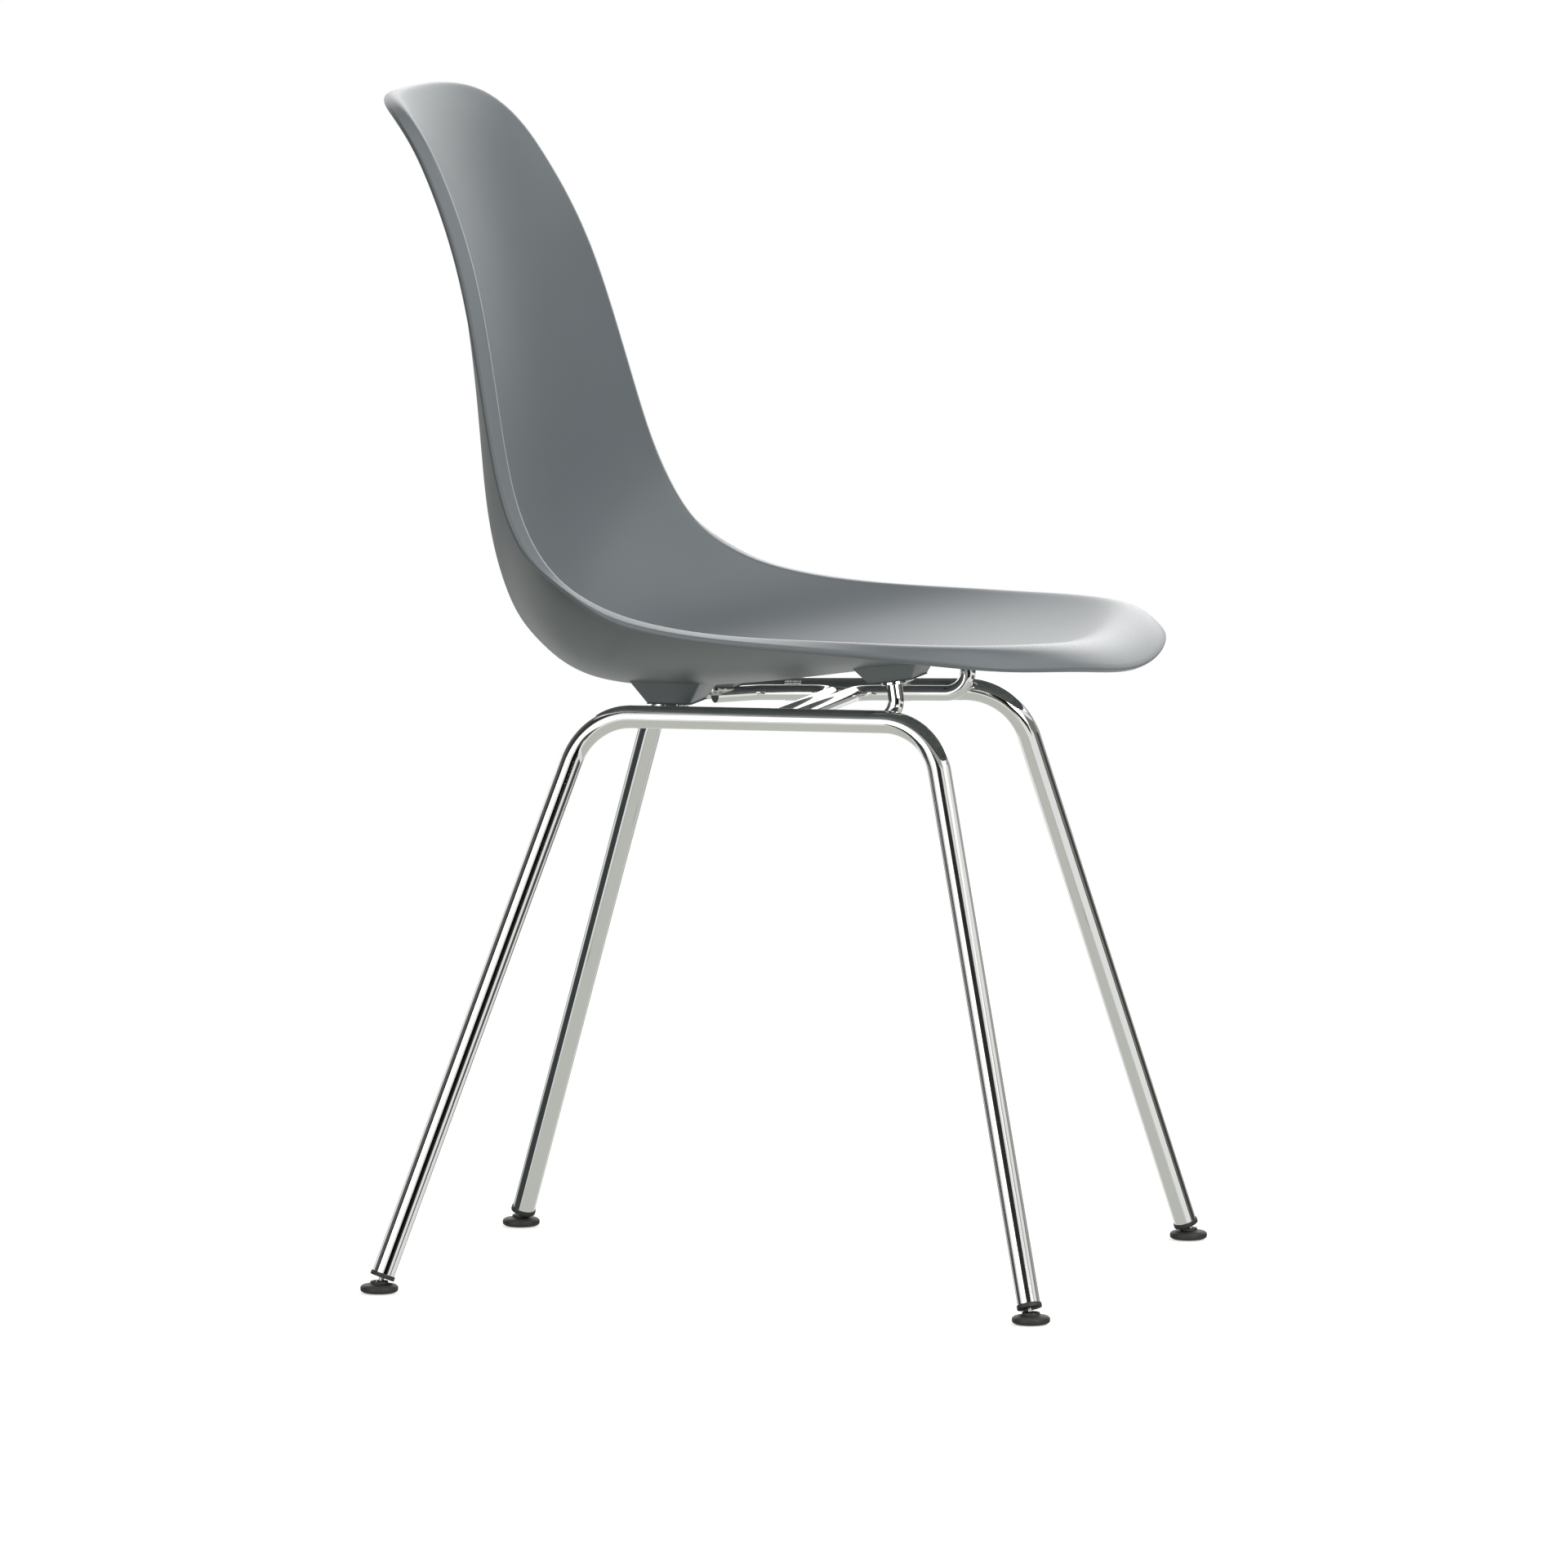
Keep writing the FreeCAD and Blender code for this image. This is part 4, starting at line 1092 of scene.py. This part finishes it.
@dataclass(frozen=True)
class Panel:
    """Upright panel of the studio, by where it stands as seen from the chair.

    Bearing is measured from the camera towards the chair's front, lift from the horizon; wide and
    tall are the angles that it covers.
    """

    name: str
    bearing: float
    lift: float
    wide: float
    tall: float
    colour: str = "#ffffff"
    glow: float = 1.0

    def size(self, distance: float) -> tuple[float, ...]:
        """Width and height at a distance."""
        return tuple(2 * distance * tan(radians(angle / 2))
                     for angle in (self.wide, self.tall))


LAMPS = (
    Panel("backdrop_light", 180, 26, 72, 42, glow=1.25),
    Panel("front_top_box", 80, 44, 64, 34, glow=0.9),
    Panel("front_box", 33, 11, 30, 20, glow=7.0),
    Panel("overhead", 0, 78, 56, 56, glow=0.9),
)
CARDS = (
    Panel("rear_reflector", -43, 6, 46, 32, glow=3.0),
    Panel("camera_gap", 12, 0, 30, 28, "#101010"),
    Panel("stand_gap", 32, -8, 14, 14, "#3a3a38"),
    Panel("tripod_gap", -8, -9, 20, 22, "#5a5a58"),
    Panel("ceiling_gap", -3, 28, 46, 10, "#303230"),
    Panel("ceiling", 15, 50, 90, 32, "#b4b6b2"),
    Panel("front_gap", 107, -2, 90, 13, "#484846"),
    Panel("front_screen", 131, 22, 42, 52, "#b0b2b0"),
    Panel("front_flat", 80, 6, 62, 22, "#84847f"),
    Panel("front_flat_foot", 90, -18, 46, 9, "#545452"),
    Panel("front_foot_side", 136, -17, 26, 10, "#747472"),
    Panel("rear_flat", -70, 31, 34, 32, "#40423f"),
    Panel("rear_flat_side", -101, 18, 34, 54, "#666866"),
    Panel("rear_flat_foot", -86, -15, 84, 22, "#44484a"),
    Panel("backdrop_foot", 180, -6, 84, 16, "#a8aca8"),
    Panel("backdrop_top", 180, 66, 130, 36, "#8a8c8a"),
    Panel("ground", 0, -90, 120, 120, "#d2d5ce"),
)


@dataclass
class Studio:
    """Pale floor, soft lamps, the camera, and cards that only mirrors and highlights show.

    The dark and bright cards stand far off and give the chrome its stripes; the lamps stand near.
    Names that end in mm are millimetres, the other lengths are metres.
    """

    azimuth_deg: float = 15.2
    elevation_deg: float = 6.332
    roll_deg: float = -0.195
    distance_mm: float = 13301.8
    target_mm: tuple[float, float, float] = (0.0, -8.89, 345.45)
    focal_px: float = 23123.1
    frame_px: float = 1920.0
    clip: tuple[float, float] = (0.1, 200.0)
    middle_mm: tuple[float, float, float] = (0.0, 0.0, 300.0)
    lamp_distance: float = 2.6
    card_distance: float = 9.0
    card_step: float = 0.05
    room_light: float = 0.26
    floor_colour: str = "#c9ccc2"
    floor_radius: float = 2.7
    floor_drop: float = 0.0004
    floor_sides: int = 96
    floor_lift: float = 0.7

    def away(self, bearing: float, lift: float) -> Vector:
        """Unit vector away from the chair, by degrees from the camera's side and the horizon."""
        return polar(-cos(radians(lift)), radians(self.azimuth_deg + bearing), sin(radians(lift)))

    def camera(self) -> None:
        """Place the camera where the photograph was taken from."""
        back, aside = self.away(0, self.elevation_deg), self.away(90, 0)
        up = back.cross(aside)
        roll = radians(self.roll_deg)
        turn = Matrix((aside * cos(roll) + up * sin(roll),
                       up * cos(roll) - aside * sin(roll), back)).transposed()
        lens = bpy.data.cameras.new("camera")
        lens.sensor_fit = "AUTO"
        lens.lens = self.focal_px / self.frame_px * lens.sensor_width
        lens.clip_start, lens.clip_end = self.clip
        place = (Vector(self.target_mm) + back * self.distance_mm) * MM
        eye = link("camera", lens)
        eye.matrix_world = Matrix.Translation(place) @ turn.to_4x4()
        bpy.context.scene.camera = eye

    def stand(self, panel: Panel, distance: float) -> Matrix:
        """Placement of a panel that faces the chair, Z away from it."""
        away = self.away(panel.bearing, panel.lift)
        place = Vector(self.middle_mm) * MM + away * distance
        return Matrix.Translation(place) @ away.to_track_quat("Z", "Y").to_matrix().to_4x4()

    def lamp(self, panel: Panel) -> None:
        """Soft rectangular lamp of a given brightness."""
        data = bpy.data.lights.new(panel.name, "AREA")
        data.shape = "RECTANGLE"
        data.size, data.size_y = panel.size(self.lamp_distance)
        data.energy = panel.glow * pi * data.size * data.size_y
        data.color = linear(panel.colour)[:3]
        link(panel.name, data).matrix_world = self.stand(panel, self.lamp_distance)

    def sheet(self, name: str, corners: Sequence[Any], paint: Material) -> Object:
        """Flat sheet of the stage, as one face.

        Args:
            name: its name.
            corners: points round it, in metres.
            paint: its material.

        Returns:
            The object.
        """
        mesh = bpy.data.meshes.new(name)
        mesh.from_pydata(corners, [], [range(len(corners))])
        mesh.materials.append(paint)
        made = link(name, mesh)
        return made

    def card(self, panel: Panel, number: int) -> None:
        """Flat card that faces the chair.

        Args:
            panel: the card.
            number: its place in the row; later cards stand a little farther off.
        """
        distance = self.card_distance + number * self.card_step
        x, y = (side / 2 for side in panel.size(distance))
        turn = self.stand(panel, distance)
        paint = bpy.data.materials.new(panel.name)
        tree = fresh_tree(paint)
        glow = add_node(tree, "ShaderNodeEmission", {
            "Color": linear(panel.colour), "Strength": panel.glow})
        add_node(tree, "ShaderNodeOutputMaterial", {"Surface": glow})
        card = self.sheet(panel.name, [turn @ Vector(corner) for corner in
                                       ((-x, -y, 0), (x, -y, 0), (x, y, 0), (-x, y, 0))], paint)
        card.visible_camera = card.visible_diffuse = card.visible_shadow = False

    def floor(self) -> None:
        """Pale floor that keeps the chair's shadow and meets the white backdrop."""
        edge = [polar(self.floor_radius, angle, -self.floor_drop)
                for angle in round_angles(self.floor_sides)]
        paint = bpy.data.materials.new("studio_floor_paint")
        tree = fresh_tree(paint)
        path = add_node(tree, "ShaderNodeLightPath")
        lift = add_node(tree, "ShaderNodeMath",
                        {0: path.outputs["Is Camera Ray"], 1: self.floor_lift},
                        operation="MULTIPLY")
        coat = add_node(tree, "ShaderNodeBsdfDiffuse", {"Color": linear(self.floor_colour)})
        glow = add_node(tree, "ShaderNodeEmission", {"Strength": lift})
        both = add_node(tree, "ShaderNodeAddShader", {0: coat, 1: glow})
        add_node(tree, "ShaderNodeOutputMaterial", {"Surface": both})
        self.sheet("floor", edge, paint).visible_glossy = False

    def world(self) -> None:
        """White backdrop, and a dimmer even light on the chair."""
        sky = bpy.data.worlds.new("studio_backdrop")
        tree = fresh_tree(sky)
        path = add_node(tree, "ShaderNodeLightPath").outputs
        seen = add_node(tree, "ShaderNodeMath", {
            0: path["Is Camera Ray"], 1: path["Is Glossy Ray"]}, operation="MAXIMUM")
        clear = add_node(tree, "ShaderNodeMath", {0: seen, 1: path["Is Transmission Ray"]},
                         operation="MAXIMUM")
        level = add_node(tree, "ShaderNodeMapRange", {"Value": clear, 3: self.room_light, 4: 1.0})
        light = add_node(tree, "ShaderNodeBackground", {"Color": (1, 1, 1, 1), "Strength": level})
        add_node(tree, "ShaderNodeOutputWorld", {"Surface": light})
        bpy.context.scene.world = sky

    def build(self) -> None:
        """Set up the whole studio."""
        self.floor()
        self.world()
        for panel in LAMPS:
            self.lamp(panel)
        for number, panel in enumerate(CARDS):
            self.card(panel, number)
        self.camera()
        bpy.context.scene.view_settings.view_transform = "Standard"


def main() -> None:
    """Build the chair's sub-assemblies in order, then the studio."""
    logging.basicConfig(level=logging.INFO, format="%(message)s")
    sizes = ChairSizes()
    SeatShell(sizes).build()
    for hand in Hand:
        LegBow(sizes).build(hand)
    for end in End:
        BraceRod(sizes).build(end)
    WeldSet(sizes).build()
    MountHardware(sizes).build()
    for corner in CORNERS:
        SwivelGlide(sizes, corner).build()
    Studio().build()


if __name__ == "__main__":
    main()
